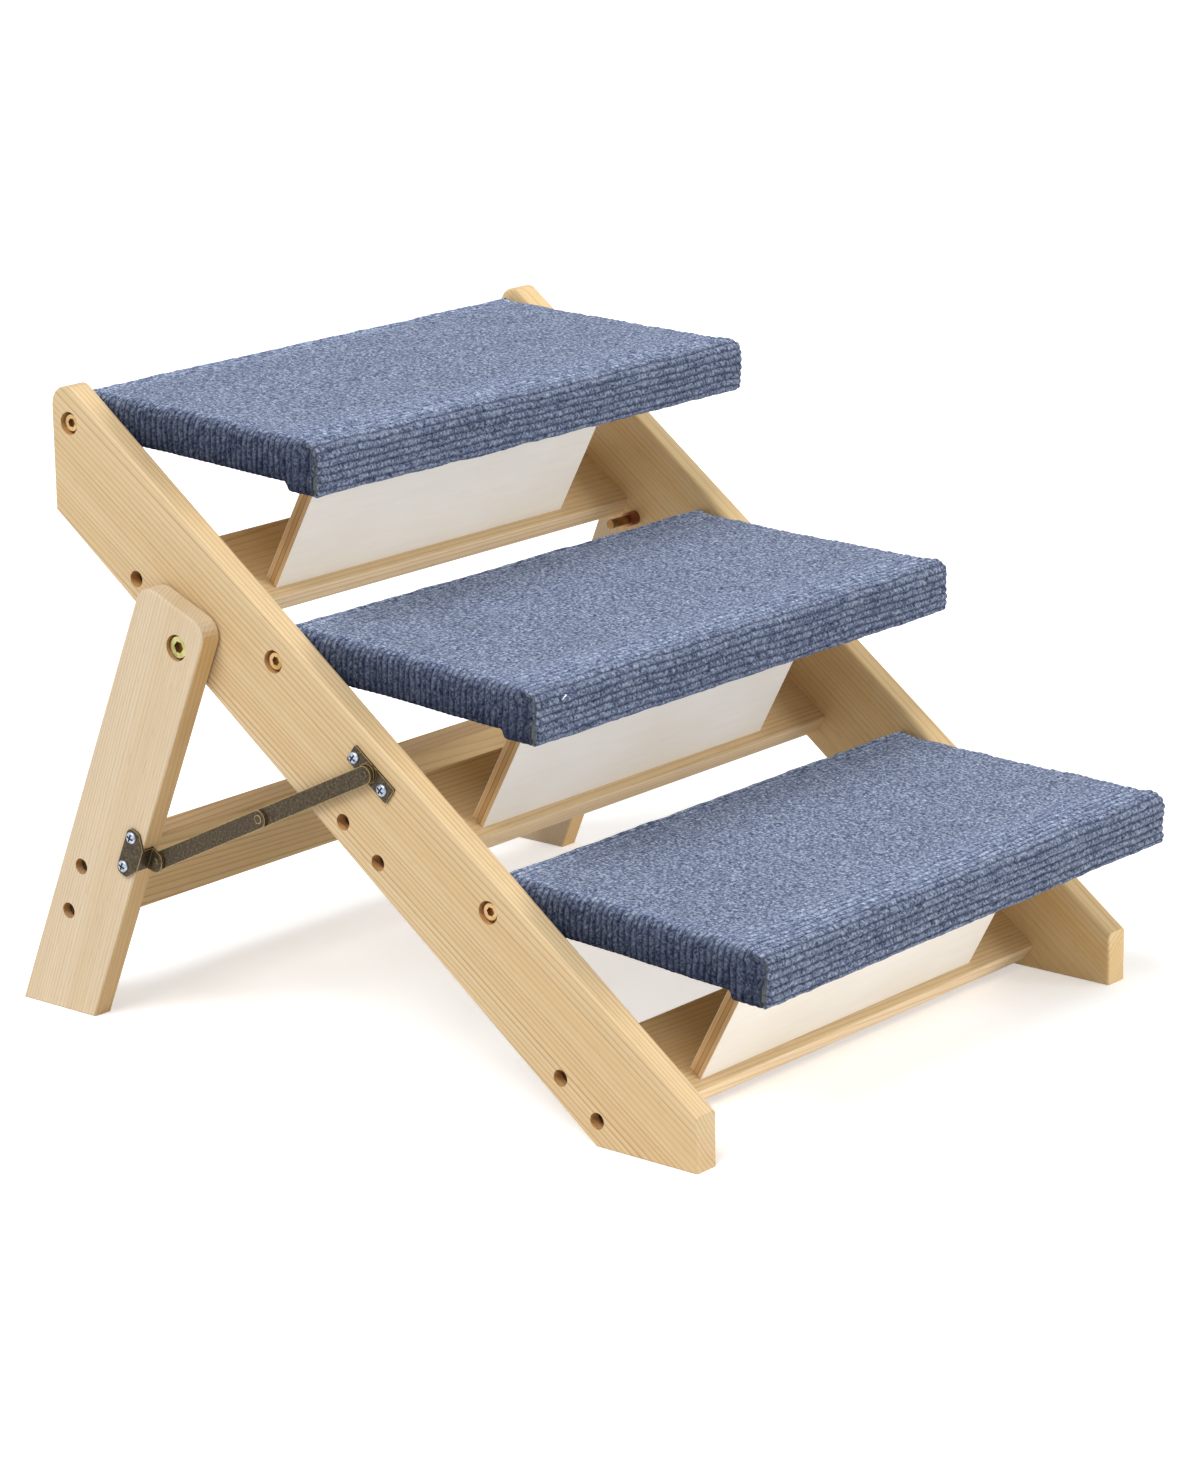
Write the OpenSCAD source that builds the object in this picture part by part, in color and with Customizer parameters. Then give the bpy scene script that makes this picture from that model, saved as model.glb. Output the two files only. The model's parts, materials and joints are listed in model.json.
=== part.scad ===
// Folding pet stairs: three carpeted treads between two pine rails, on two hinged rear legs.
// X runs across the stairs, Y from the front step to the back and Z up. The floor is Z = 0.
// The origin lies on the floor, halfway between the rails and between the two ends.
// Sizes are in millimetres and angles in degrees.

/* [Rails] */
// Angle of the rails above the floor
slope = 36.8; // [35.4:0.1:38.2]
// Clear width between the two rails
rail_gap = 390; // [340:1:460]
// Thickness of a rail board
rail_thick = 18; // [16:0.5:22]
// Width of a rail board, square to its slope
rail_width = 70; // [68:0.5:76]
// Height of the rail's upper edge above the line of the tread bolts
rail_above = 18; // [15:0.5:20]
// Height of the upright nose at the rail's front end
nose_height = 33.6; // [25:0.2:45]
// Distance along the rail's upper edge from the nose to the lowest tread bolt
nose_run = 173; // [165:0.5:190]
// Distance from the highest tread bolt back to the rail's upright rear end
rail_end = 14.5; // [13:0.5:22]
// Radius of the corner at the top of the rail's rear end
rail_corner = 11.5; // [6:0.5:14]
// Rounding along the rail's upper edges
rail_top_arris = 3.5; // [2:0.1:5]
// Rounding along the other edges of the boards
arris = 1.6; // [0.8:0.1:2.4]

/* [Treads] */
// Distance between the tread bolts along the slope
bolt_pitch = 202; // [200:0.5:215]
// Forward tilt of the treads as they stand
tread_tilt = 2.2; // [1.4:0.1:3]
// Reach of a tread in front of its bolt, carpet included
tread_front = 188.2; // [184:0.2:190]
// Reach of a tread behind its bolt, carpet included
tread_rear = 12; // [11:0.2:13]
// Thickness of the board under the carpet
board_thick = 22; // [20:0.5:23]
// Height of the bolt's middle above the board's underside
bolt_height = 12; // [11:0.2:13]
// Thickness of the carpet
carpet_thick = 5.4; // [4:0.2:6]
// Gap between a tread and the rail beside it
side_gap = 1.5; // [1:0.1:2.5]
// Depth of the carpet that is folded under the board's front edge
front_fold = 27; // [18:0.5:35]
// Depth of the carpet that is folded under the board's rear edge
rear_fold = 24; // [18:0.5:30]
// Rounding of the carpet where it turns down over the front edge
carpet_nose = 7; // [5:0.5:8]
// Rounding of the carpet at its other folds
carpet_round = 4.5; // [3:0.5:5]

/* [Risers] */
// Forward lean of a riser from the upright as it stands
riser_lean = 28.1; // [26.6:0.1:29.6]
// Thickness of a riser panel
riser_thick = 9.5; // [8.5:0.5:10]
// Width of a riser panel
riser_width = 265; // [220:1:300]
// Distance of the riser's foot from the slat's front edge
riser_foot = 6.4; // [5:0.2:8]

/* [Slats] */
// Width of a slat and of the legs' crossbar
slat_width = 54.8; // [50:0.2:58]
// Thickness of a slat and of the legs' crossbar
slat_thick = 15; // [13:0.5:18]
// Distance along the slope from a tread bolt down to the slat's upper edge
slat_below_bolt = 84.4; // [80:0.2:90]
// Wood left in the rail under a slat
slat_edge = 6.8; // [4:0.2:6.8]

/* [Legs] */
// Rearward tilt of the legs from the upright
leg_tilt = 22.75; // [20:0.25:25]
// Thickness of a leg board
leg_thick = 15; // [13:0.5:18]
// Width of a leg board
leg_width = 57.2; // [54:0.2:62]
// Distance down the slope from the highest slat to the leg's pivot
leg_slat_gap = 11.3; // [9:0.1:14]
// Distance of the leg's pivot from the rail's lower edge
leg_edge = 15.7; // [14:0.1:16]
// Reach of the leg in front of its pivot
leg_front = 17.9; // [16:0.1:18.5]
// Reach of the leg above its pivot
leg_top = 22.8; // [20:0.2:28]
// Radius of the corners at the leg's top
leg_corner = 12; // [6:0.5:14]
// Distance down the leg from its pivot to the middle of the crossbar
crossbar_down = 189.4; // [185:0.2:198]
// Thickness of the washer between leg and rail
leg_gap = 1; // [0.8:0.1:2]

/* [Stays] */
// Width of a stay's links
link_width = 11; // [9:0.2:11.4]
// Thickness of the stay's strip metal
strip = 1.5; // [1.2:0.1:1.8]
// Length of the link on the leg, from rivet to rivet
rear_link = 95; // [94:0.5:96]
// Distance down the leg from its pivot to the rivet of the leg bracket
leg_rivet_down = 140.7; // [139:0.1:142]
// Distance of that rivet in front of the leg
leg_rivet_out = 6.1; // [6:0.1:6.6]
// Distance along the slope from the lowest tread bolt up to the rivet of the rail bracket
rail_rivet_along = 110.4; // [109.6:0.1:111]
// Height of that rivet above the line of the tread bolts
rail_rivet_up = 0.5; // [0:0.1:1]
// Width of the rail bracket
rail_bracket_width = 12; // [11.6:0.1:14]
// Length of the rail bracket
rail_bracket_len = 37; // [35:0.5:42]
// Length of the leg bracket's plate
leg_bracket_len = 32; // [30:0.5:38]
// Width of the leg bracket's plate
leg_bracket_width = 15.7; // [14:0.1:17]

/* [Bolts and screws] */
// Diameter of the tread bolts and the leg bolts
bolt_d = 6; // [5:0.5:6.5]
// Diameter of a tread bolt's head
tread_head_d = 10; // [9.5:0.1:11]
// Diameter of the counterbore round a tread bolt's head
tread_bore_d = 14; // [13:0.1:15]
// Diameter of a leg bolt's head
leg_head_d = 13; // [12:0.1:14]
// Diameter of the counterbore round a leg bolt's head
leg_bore_d = 16; // [15.4:0.1:18]
// Depth of the bolt heads below the wood
head_recess = 2.2; // [1:0.1:3]
// Length of a leg bolt's end inside the rail
leg_bolt_end = 25; // [15:1:35]
// Diameter of the deep holes over the slat screws
screw_bore_d = 10; // [9.4:0.1:11]
// Distance between the two screws in the end of a slat
screw_pitch = 33; // [28:0.5:36]

/* [Hidden] */

$fn = 48;

// Steps in a rounded arris, in a rounded corner of an outline and in a domed head
arris_steps = 4;
corner_steps = 6;
dome_steps = 5;
// Share of a domed head's height that is its upright rim
rim_share = 0.2;

// Fits: a running fit round a shaft, a gap between faces that move, and a seat gap
fit = 0.05;
face_gap = 0.3;
seat_gap = 0.1;
// Overrun of a cut past the face that it opens
over = 2;

// Colours
pine = [0.87, 0.77, 0.62];
laminate = [0.84, 0.80, 0.76];
carpet_blue = [0.42, 0.47, 0.60];
bronze = [0.33, 0.29, 0.20];
zinc = [0.72, 0.62, 0.40];
steel = [0.70, 0.73, 0.78];

// Levels across the stairs, measured from the middle
rail_in = rail_gap / 2;
rail_out = rail_in + rail_thick;
leg_in = rail_out + leg_gap;
leg_out = leg_in + leg_thick;
tread_half = rail_in - side_gap;
board_half = tread_half - carpet_thick;

// The rail bracket's boss, the two links and the leg bracket's ear lie one outside the other
boss_lift = 0.5;
link_gap = 0.2;
boss_out = rail_out + 2 * strip + boss_lift;
front_link_in = boss_out + face_gap;
rear_link_in = front_link_in + strip + link_gap;
ear_in = rear_link_in + strip + link_gap;

// The lowest tread bolt, measured from the rail's nose
low_bolt_run = nose_run * cos(slope) + rail_above * sin(slope);
low_bolt_z = nose_height + nose_run * sin(slope) - rail_above * cos(slope);

// The slats and the leg's pivot are set in from the rail's lower edge, under the line of the bolts
rail_below = rail_width - rail_above;
slat_depth = rail_below - slat_edge - slat_thick;
leg_below = rail_below - leg_edge;
// The leg's pivot lies just below the highest slat
leg_along = 2 * bolt_pitch - slat_below_bolt - slat_width - leg_slat_gap;

// The leg's pivot, and its heel on the floor behind it
leg_run = low_bolt_run + leg_along * cos(slope) + leg_below * sin(slope);
leg_z = low_bolt_z + leg_along * sin(slope) - leg_below * cos(slope);
leg_back = leg_width - leg_front;
heel_run = leg_run + leg_back * cos(leg_tilt) + (leg_z + leg_back * sin(leg_tilt)) * tan(leg_tilt);

// The front of the lowest tread, where its rounded nose reaches furthest
carpet_top = board_thick - bolt_height + carpet_thick;
front_run = low_bolt_run - (tread_front - carpet_nose) * cos(tread_tilt)
    - (carpet_top - carpet_nose) * sin(tread_tilt) - carpet_nose;

// The origin is halfway between these two ends
nose_y = -(front_run + heel_run) / 2;
low_bolt_y = nose_y + low_bolt_run;

// The crossbar's front face comes to rest on the rails' lower edges when the legs fold
crossbar_back = leg_edge + face_gap;

// Angle between a riser's rear face and the tread's underside
riser_fold = 90 - riser_lean + tread_tilt;
riser_turn = riser_lean - slope;

// Sizes of the riser's hinges
knuckle_r = 3.6;
pin_off = 4;
pin_r = 1.5;
leaf = 1.2;
leaf_len = 20;
knuckle_len = 7;
knuckles = 5;
hinge_x = 82;
hinge_screw_r = 1.3;
hinge_screw_len = 7.5;
hinge_head_r = 2.6;
hinge_head_len = 1.1;
leaf_screw_spread = 11;
leaf_screw_edge = 6;

// Sizes of bolts, washers, inserts and nuts
tread_head_len = 4;
leg_head_len = 5;
hex_share = 0.5;
hex_depth_share = 0.6;
insert_r = 5;
insert_len = 16;
bolt_in_insert = 14;
washer_r = 6.5;
leg_washer_r = 9;
nut_r = 4.6;
nut_len = 8;

// Sizes of the wood screws in the slats, the crossbar and the brackets
screw_r = 2.2;
screw_len = 40;
screw_head_r = 4.3;
screw_head_len = 3;
rail_screw_bore = 10;
leg_screw_bore = 8;
screw_pair_shift = 1.4;
slat_screw_depth = 8.9;
small_screw_r = 1.7;
small_screw_len = 13;
small_head_r = 3.75;
small_head_len = 1.9;
slot_wide = 1.2;
slot_long = 5;
slot_deep = 1.1;

// Sizes of the rivets and of the brackets' details
rivet_r = 2;
rivet_head_r = 2.8;
rivet_head_len = 1.3;
flush_head_len = 0.5;
boss_r = 5.9;
rail_bracket_shift = -1.4;
rail_bracket_rise = 1.05;
bracket_corner = 1.2;
rail_screw_spread = 13.1;
leg_plate_lobe = 9.4;
leg_plate_corner = 4.4;
leg_screw_spread = 10.35;
leg_screw_back = 9.4;
ear_height = 14.8;
ear_out = 5.6;
ear_end_height = 11.8;
ear_corner = 5.4;

// Frames. Each child lies in the side plane, with Y along the piece and Z square to it.
// The slope's frame starts at the lowest tread bolt.
module at_slope(along = 0, up = 0) {
    translate([0, low_bolt_y, low_bolt_z])
        rotate([slope, 0, 0])
            translate([0, along, up])
                children();
}

// A tread's frame starts at its bolt, and tilts forward with the tread
module at_tread(step) {
    at_slope(step * bolt_pitch)
        rotate([tread_tilt - slope, 0, 0])
            children();
}

// The leg's frame starts at its pivot, with Y to its rear edge and Z up the leg
module at_leg(down = 0, back = 0) {
    at_slope(leg_along, -leg_below)
        rotate([leg_tilt - slope, 0, 0])
            translate([0, back, -down])
                children();
}

module on_side(side) {
    if (side < 0)
        mirror([1, 0, 0]) children();
    else
        children();
}

module both_sides() {
    on_side(1) children();
    on_side(-1) children();
}

// An outline in the side plane, carried across from one level to another
module across(from, to) {
    translate([from, 0, 0])
        rotate([90, 0, 90])
            linear_extrude(height = to - from)
                children();
}

// A round rod across the stairs
module rod(from, to, r) {
    translate([from, 0, 0])
        rotate([0, 90, 0])
            cylinder(h = to - from, r = r);
}

// Functions that round the corners of an outline
function unit(v) = v / norm(v);
function short_way(a) = a > 180 ? a - 360 : a < -180 ? a + 360 : a;
function corner_arc(before, corner, after, r) =
    r <= 0 ? [corner] :
    let (
        u = unit(before - corner),
        v = unit(after - corner),
        half = acos(u * v) / 2,
        centre = corner + unit(u + v) * r / sin(half),
        first = corner + u * r / tan(half) - centre,
        last = corner + v * r / tan(half) - centre,
        start = atan2(first.y, first.x),
        turn = short_way(atan2(last.y, last.x) - start)
    )
    [for (k = [0:corner_steps]) centre + r * [
        cos(start + turn * k / corner_steps),
        sin(start + turn * k / corner_steps)
    ]];
function rounded(points, radii) =
    let (n = len(points))
    [for (i = [0:n - 1]) each corner_arc(
        points[(i + n - 1) % n], points[i], points[(i + 1) % n], radii[i])];

// A board with this outline, from one level to another, with every arris rounded
module board(from, to, round_r, points) {
    hull()
        for (k = [0:arris_steps])
            let (turn = 90 * k / arris_steps, sunk = round_r * (1 - cos(turn)))
                across(from + sunk, to - sunk)
                    offset(delta = -round_r * (1 - sin(turn)))
                        polygon(points);
}

// Corners of a box outline, from its near lower corner to its far upper one
function box_points(low, high) = [low, [high.x, low.y], high, [low.x, high.y]];

// A rounded head, flat underneath, growing along X from its seat
module dome(seat, r, height) {
    rim = height * rim_share;
    translate([seat, 0, 0])
        rotate([0, 90, 0])
            rotate_extrude()
                polygon([
                    [0, 0],
                    [r, 0],
                    for (k = [0:dome_steps])
                        let (turn = 90 * k / dome_steps)
                            [k == dome_steps ? 0 : r * cos(turn), rim + (height - rim) * sin(turn)]
                ]);
}

// A cross recess for a screwdriver, cut into a head whose top is at this level
module cross_slot(top) {
    for (turn = [0, 90])
        rotate([turn, 0, 0])
            translate([top - slot_deep, -slot_long / 2, -slot_wide / 2])
                cube([slot_deep + over, slot_long, slot_wide]);
}

// A hexagon socket, cut into a head whose top is at this level
module hex_socket(top, head_d, head_len) {
    translate([top - head_len * hex_depth_share, 0, 0])
        rotate([0, 90, 0])
            cylinder(h = head_len, r = head_d * hex_share / sqrt(3), $fn = 6);
}

// A wood screw pointing inwards, with its head's seat at this level
module wood_screw(seat) {
    rod(seat - screw_len, seat + seat_gap, screw_r);
    difference() {
        rod(seat, seat + screw_head_len, screw_head_r);
        cross_slot(seat + screw_head_len);
    }
}

// A small screw that holds a bracket, pointing inwards, with its seat at this level
module small_screw(seat) {
    rod(seat - small_screw_len, seat + seat_gap, small_screw_r);
    difference() {
        dome(seat, small_head_r, small_head_len);
        cross_slot(seat + small_head_len);
    }
}

// Places of the fasteners
module at_slat_screws(step) {
    for (end = [-1, 1])
        at_slope(
            step * bolt_pitch - slat_below_bolt - slat_width / 2 + screw_pair_shift + end * screw_pitch / 2,
            -slat_depth - slat_screw_depth)
            children();
}

module at_crossbar_screws() {
    for (end = [-1, 1])
        at_leg(crossbar_down + end * screw_pitch / 2, crossbar_back + slat_thick / 2)
            children();
}

module at_rail_bracket_screws() {
    for (end = [-1, 1])
        at_slope(rail_rivet_along + end * rail_screw_spread, rail_rivet_up)
            children();
}

module at_leg_bracket_screws() {
    for (end = [-1, 1])
        at_leg(leg_rivet_down + end * leg_screw_spread, -leg_front + leg_screw_back)
            children();
}

// Rail, as an outline in the side plane from its nose to its rear end
rail_rear_y = low_bolt_y + 2 * bolt_pitch * cos(slope) + rail_end;
function upper_edge(y) = nose_height + (y - nose_y) * tan(slope);
function lower_edge(y) = upper_edge(y) - rail_width / cos(slope);
rail_foot_y = nose_y + rail_width / sin(slope) - nose_height / tan(slope);
rail_points = rounded(
    [
        [nose_y, 0],
        [rail_foot_y, 0],
        [rail_rear_y, lower_edge(rail_rear_y)],
        [rail_rear_y, upper_edge(rail_rear_y)],
        [nose_y, nose_height]
    ],
    [0, 0, 0, rail_corner, 0]);

// A bar along the slope, far wider than the rail below, whose upper edges are well rounded
module top_edge_bar() {
    at_slope(-nose_run - rail_width, rail_above)
        rotate([-90, 0, 0])
            linear_extrude(height = nose_run + 2 * bolt_pitch + 3 * rail_width)
                polygon(rounded(
                    [[rail_in, 0], [rail_out, 0], [rail_out, 2 * rail_width], [rail_in, 2 * rail_width]],
                    [rail_top_arris, rail_top_arris, 0, 0]));
}

module rail(side) {
    color(pine)
        on_side(side)
            difference() {
                intersection() {
                    board(rail_in, rail_out, arris, rail_points);
                    top_edge_bar();
                }
                for (step = [0:2]) {
                    at_slope(step * bolt_pitch) {
                        rod(rail_in - over, rail_out + over, bolt_d / 2 + fit);
                        rod(rail_out - head_recess - tread_head_len - seat_gap, rail_out + over,
                            tread_bore_d / 2);
                    }
                    at_slat_screws(step) {
                        rod(rail_in - over, rail_out + over, screw_r + fit);
                        rod(rail_out - rail_screw_bore, rail_out + over, screw_bore_d / 2);
                    }
                }
                at_slope(leg_along, -leg_below)
                    rod(rail_in - over, rail_out + over, bolt_d / 2 + fit);
                at_rail_bracket_screws()
                    rod(rail_out + strip - small_screw_len - seat_gap, rail_out + over, small_screw_r + fit);
            }
}

// Slat between the rails, under the riser of its tread
module slat(step) {
    color(pine)
        difference() {
            at_slope(step * bolt_pitch - slat_below_bolt, -slat_depth)
                slat_bar(rail_in, [-slat_width, -slat_thick], [0, 0]);
            both_sides()
                at_slat_screws(step)
                    rod(rail_out - rail_screw_bore - screw_len - seat_gap, rail_in + over, screw_r + fit);
        }
}

// A bar across the stairs with rounded long edges
module slat_bar(half, low, high) {
    across(-half, half)
        polygon(rounded(box_points(low, high), [arris, arris, arris, arris]));
}

module slat_screws() {
    color(steel)
        both_sides()
            for (step = [0:2])
                at_slat_screws(step)
                    wood_screw(rail_out - rail_screw_bore);
}

// Bolt on which a tread turns, from the rail's outer face into the tread's insert
module tread_bolts() {
    head_out = rail_out - head_recess;
    color(zinc)
        both_sides()
            for (step = [0:2])
                at_slope(step * bolt_pitch) {
                    rod(board_half - bolt_in_insert, head_out - tread_head_len + seat_gap, bolt_d / 2);
                    difference() {
                        rod(head_out - tread_head_len, head_out, tread_head_d / 2);
                        hex_socket(head_out, tread_head_d, tread_head_len);
                    }
                }
}

module tread_washers() {
    color(steel)
        both_sides()
            for (step = [0:2])
                at_slope(step * bolt_pitch)
                    difference() {
                        rod(tread_half + seat_gap, rail_in - seat_gap, washer_r);
                        rod(tread_half - over, rail_in + over, bolt_d / 2 + fit);
                    }
}

// Bolt on which a leg turns, through leg, washer and rail
module leg_bolts() {
    head_out = leg_out - head_recess;
    color(zinc)
        both_sides()
            at_slope(leg_along, -leg_below) {
                rod(rail_in - leg_bolt_end, head_out - leg_head_len + seat_gap, bolt_d / 2);
                difference() {
                    rod(head_out - leg_head_len, head_out, leg_head_d / 2);
                    hex_socket(head_out, leg_head_d, leg_head_len);
                }
            }
}

module leg_bolt_nuts() {
    color(zinc)
        both_sides()
            at_slope(leg_along, -leg_below)
                difference() {
                    rod(rail_in - nut_len, rail_in, nut_r);
                    rod(rail_in - nut_len - over, rail_in + over, bolt_d / 2 + fit);
                }
}

module leg_washers() {
    color(steel)
        both_sides()
            at_slope(leg_along, -leg_below)
                difference() {
                    rod(rail_out + seat_gap, leg_in - seat_gap, leg_washer_r);
                    rod(rail_out - over, leg_in + over, bolt_d / 2 + fit);
                }
}

// Leg, as an outline in its own frame, with its foot cut level on the floor
function foot_up(back) = -(leg_z + back * sin(leg_tilt)) / cos(leg_tilt);
leg_points = rounded(
    [
        [-leg_front, foot_up(-leg_front)],
        [leg_back, foot_up(leg_back)],
        [leg_back, leg_top],
        [-leg_front, leg_top]
    ],
    [0, 0, leg_corner, leg_corner]);

module leg(side) {
    color(pine)
        on_side(side)
            difference() {
                at_leg()
                    board(leg_in, leg_out, arris, leg_points);
                at_leg() {
                    rod(leg_in - over, leg_out + over, bolt_d / 2 + fit);
                    rod(leg_out - head_recess - leg_head_len - seat_gap, leg_out + over, leg_bore_d / 2);
                }
                at_crossbar_screws() {
                    rod(leg_in - over, leg_out + over, screw_r + fit);
                    rod(leg_out - leg_screw_bore, leg_out + over, screw_bore_d / 2);
                }
                at_leg_bracket_screws()
                    rod(leg_out + strip - small_screw_len - seat_gap, leg_out + over, small_screw_r + fit);
            }
}

module crossbar() {
    color(pine)
        difference() {
            at_leg(crossbar_down, crossbar_back)
                slat_bar(leg_in, [0, -slat_width / 2], [slat_thick, slat_width / 2]);
            both_sides()
                at_crossbar_screws()
                    rod(leg_out - leg_screw_bore - screw_len - seat_gap, leg_in + over, screw_r + fit);
        }
}

module crossbar_screws() {
    color(steel)
        both_sides()
            at_crossbar_screws()
                wood_screw(leg_out - leg_screw_bore);
}

// Bracket on the rail's outer face: a plate with a raised boss under the rivet
module rail_bracket(side) {
    low = [rail_bracket_shift - rail_bracket_len / 2, rail_bracket_rise - rail_bracket_width / 2];
    high = [rail_bracket_shift + rail_bracket_len / 2, rail_bracket_rise + rail_bracket_width / 2];
    color(bronze)
        on_side(side)
            difference() {
                at_slope(rail_rivet_along, rail_rivet_up)
                    union() {
                        across(rail_out, rail_out + strip)
                            polygon(rounded(box_points(low, high),
                                [bracket_corner, bracket_corner, bracket_corner, bracket_corner]));
                        translate([0, 0, rail_bracket_rise])
                            rod(rail_out, boss_out, boss_r);
                    }
                at_slope(rail_rivet_along, rail_rivet_up)
                    rod(rail_out - over, boss_out + over, rivet_r + fit);
                at_rail_bracket_screws()
                    rod(rail_out - over, rail_out + strip + over, small_screw_r + fit);
            }
}

module rail_bracket_screws() {
    color(steel)
        both_sides()
            at_rail_bracket_screws()
                small_screw(rail_out + strip);
}

// Rivet that carries the front link on the rail bracket's boss
module rail_bracket_rivets() {
    head_in = front_link_in + strip + fit;
    color(bronze)
        both_sides()
            at_slope(rail_rivet_along, rail_rivet_up) {
                rod(rail_out + seat_gap, head_in + seat_gap, rivet_r);
                dome(head_in, rivet_head_r, rivet_head_len);
            }
}

// Bracket on the leg: a plate on the outer face, a web across the front edge, and an ear
module leg_bracket(side) {
    front = -leg_front - seat_gap;
    plate_low = [front - strip, -leg_bracket_len / 2];
    plate_high = [front - strip + leg_bracket_width, leg_bracket_len / 2];
    plate_points = [
        [plate_low.x, -ear_height / 2], [plate_high.x - leg_plate_lobe, plate_low.y],
        [plate_high.x, plate_low.y], plate_high,
        [plate_high.x - leg_plate_lobe, plate_high.y], [plate_low.x, ear_height / 2]
    ];
    ear_tip = -leg_front - leg_rivet_out - ear_out;
    ear_points = [
        [ear_tip, -ear_end_height / 2], [front, -ear_height / 2],
        [front, ear_height / 2], [ear_tip, ear_end_height / 2]
    ];
    color(bronze)
        on_side(side)
            difference() {
                at_leg(leg_rivet_down)
                    union() {
                        across(leg_out, leg_out + strip)
                            polygon(rounded(plate_points,
                                [0, leg_plate_corner, leg_plate_corner, leg_plate_corner, leg_plate_corner, 0]));
                        across(ear_in, leg_out + strip)
                            polygon(box_points([front - strip, -ear_height / 2], [front, ear_height / 2]));
                        across(ear_in, ear_in + strip)
                            polygon(rounded(ear_points, [ear_corner, 0, 0, ear_corner]));
                    }
                at_leg(leg_rivet_down, -leg_front - leg_rivet_out)
                    rod(ear_in - over, ear_in + strip + over, rivet_r + fit);
                at_leg_bracket_screws()
                    rod(leg_out - over, leg_out + strip + over, small_screw_r + fit);
            }
}

module leg_bracket_screws() {
    color(steel)
        both_sides()
            at_leg_bracket_screws()
                small_screw(leg_out + strip);
}

// Rivet that carries the rear link on the leg bracket's ear
module leg_bracket_rivets() {
    head_out = ear_in + strip;
    color(bronze)
        both_sides()
            at_leg(leg_rivet_down, -leg_front - leg_rivet_out) {
                rod(rear_link_in - fit - seat_gap, head_out + seat_gap, rivet_r);
                dome(head_out, rivet_head_r, rivet_head_len);
                mirror([1, 0, 0])
                    dome(fit - rear_link_in, rivet_head_r, rivet_head_len - link_gap);
            }
}

// The two rivets of a stay as it stands, as points in the slope's frame
rail_rivet = [rail_rivet_along, rail_rivet_up];
leg_turn = leg_tilt - slope;
leg_rivet_in_leg = [-leg_front - leg_rivet_out, -leg_rivet_down];
leg_rivet = [
    leg_along + leg_rivet_in_leg.x * cos(leg_turn) - leg_rivet_in_leg.y * sin(leg_turn),
    -leg_below + leg_rivet_in_leg.x * sin(leg_turn) + leg_rivet_in_leg.y * cos(leg_turn)
];
stay_span = norm(leg_rivet - rail_rivet);
stay_turn = atan2(leg_rivet.y - rail_rivet.y, leg_rivet.x - rail_rivet.x);
front_link = stay_span - rear_link;

// The stay's frame starts at the rail's rivet, with Y along the links to the leg
module at_stay(along) {
    at_slope(rail_rivet.x, rail_rivet.y)
        rotate([stay_turn, 0, 0])
            translate([0, along, 0])
                children();
}

// A strip with round ends and a rivet hole at each end
module link_strip(from, length) {
    difference() {
        union() {
            across(from, from + strip)
                polygon(box_points([0, -link_width / 2], [length, link_width / 2]));
            rod(from, from + strip, link_width / 2);
            translate([0, length, 0])
                rod(from, from + strip, link_width / 2);
        }
        rod(from - over, from + strip + over, rivet_r + fit);
        translate([0, length, 0])
            rod(from - over, from + strip + over, rivet_r + fit);
    }
}

module stay_front_link(side) {
    color(bronze)
        on_side(side)
            at_stay(0)
                link_strip(front_link_in, front_link);
}

module stay_rear_link(side) {
    color(bronze)
        on_side(side)
            at_stay(front_link)
                link_strip(rear_link_in, rear_link);
}

// The rivet between the links, as the half that turns with each of them
module stay_rear_rivet(side) {
    head_in = rear_link_in + strip + fit;
    color(bronze)
        on_side(side)
            at_stay(front_link) {
                rod(rear_link_in - fit, head_in + seat_gap, rivet_r);
                dome(head_in, rivet_head_r, flush_head_len);
            }
}

module stay_front_rivet(side) {
    color(bronze)
        on_side(side)
            at_stay(front_link) {
                rod(front_link_in - fit - seat_gap, front_link_in + strip + fit, rivet_r);
                mirror([1, 0, 0])
                    dome(fit - front_link_in, rivet_head_r, rivet_head_len);
            }
}

// Tread: outlines of the board and of the carpet round it, in the tread's frame
board_low = [carpet_thick - tread_front, -bolt_height];
board_high = [tread_rear - carpet_thick, board_thick - bolt_height];
carpet_points = rounded(
    box_points([-tread_front, -bolt_height - carpet_thick], [tread_rear, carpet_top]),
    [carpet_round, carpet_round, carpet_round, carpet_nose]);
// Share of the folds' rounding that the cut side edges have
side_round_share = 0.8;

module tread_board(step) {
    color(pine)
        at_tread(step)
            difference() {
                across(-board_half, board_half)
                    polygon(box_points(board_low, board_high));
                both_sides()
                    rod(board_half - insert_len - seat_gap, board_half + over, insert_r + fit);
                at_tread_pins()
                    at_leaf_screws()
                        leaf_screw_hole();
            }
}

// Carpet over the top and the sides, folded under the front and the rear edge
module tread_carpet(step) {
    color(carpet_blue)
        at_tread(step)
            difference() {
                board(-tread_half, tread_half, carpet_round * side_round_share, carpet_points);
                across(-board_half, board_half)
                    polygon(box_points(board_low, board_high));
                across(-tread_half - over, tread_half + over)
                    polygon(box_points(
                        [front_fold - tread_front, -bolt_height - carpet_thick - over],
                        [tread_rear - rear_fold, -bolt_height]));
                both_sides()
                    rod(board_half - over, tread_half + over, bolt_d / 2 + face_gap);
            }
}

module tread_inserts(step) {
    color(steel)
        at_tread(step)
            both_sides()
                difference() {
                    rod(board_half - insert_len, board_half, insert_r);
                    rod(board_half - insert_len - over, board_half + over, bolt_d / 2 + fit);
                }
}

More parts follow.
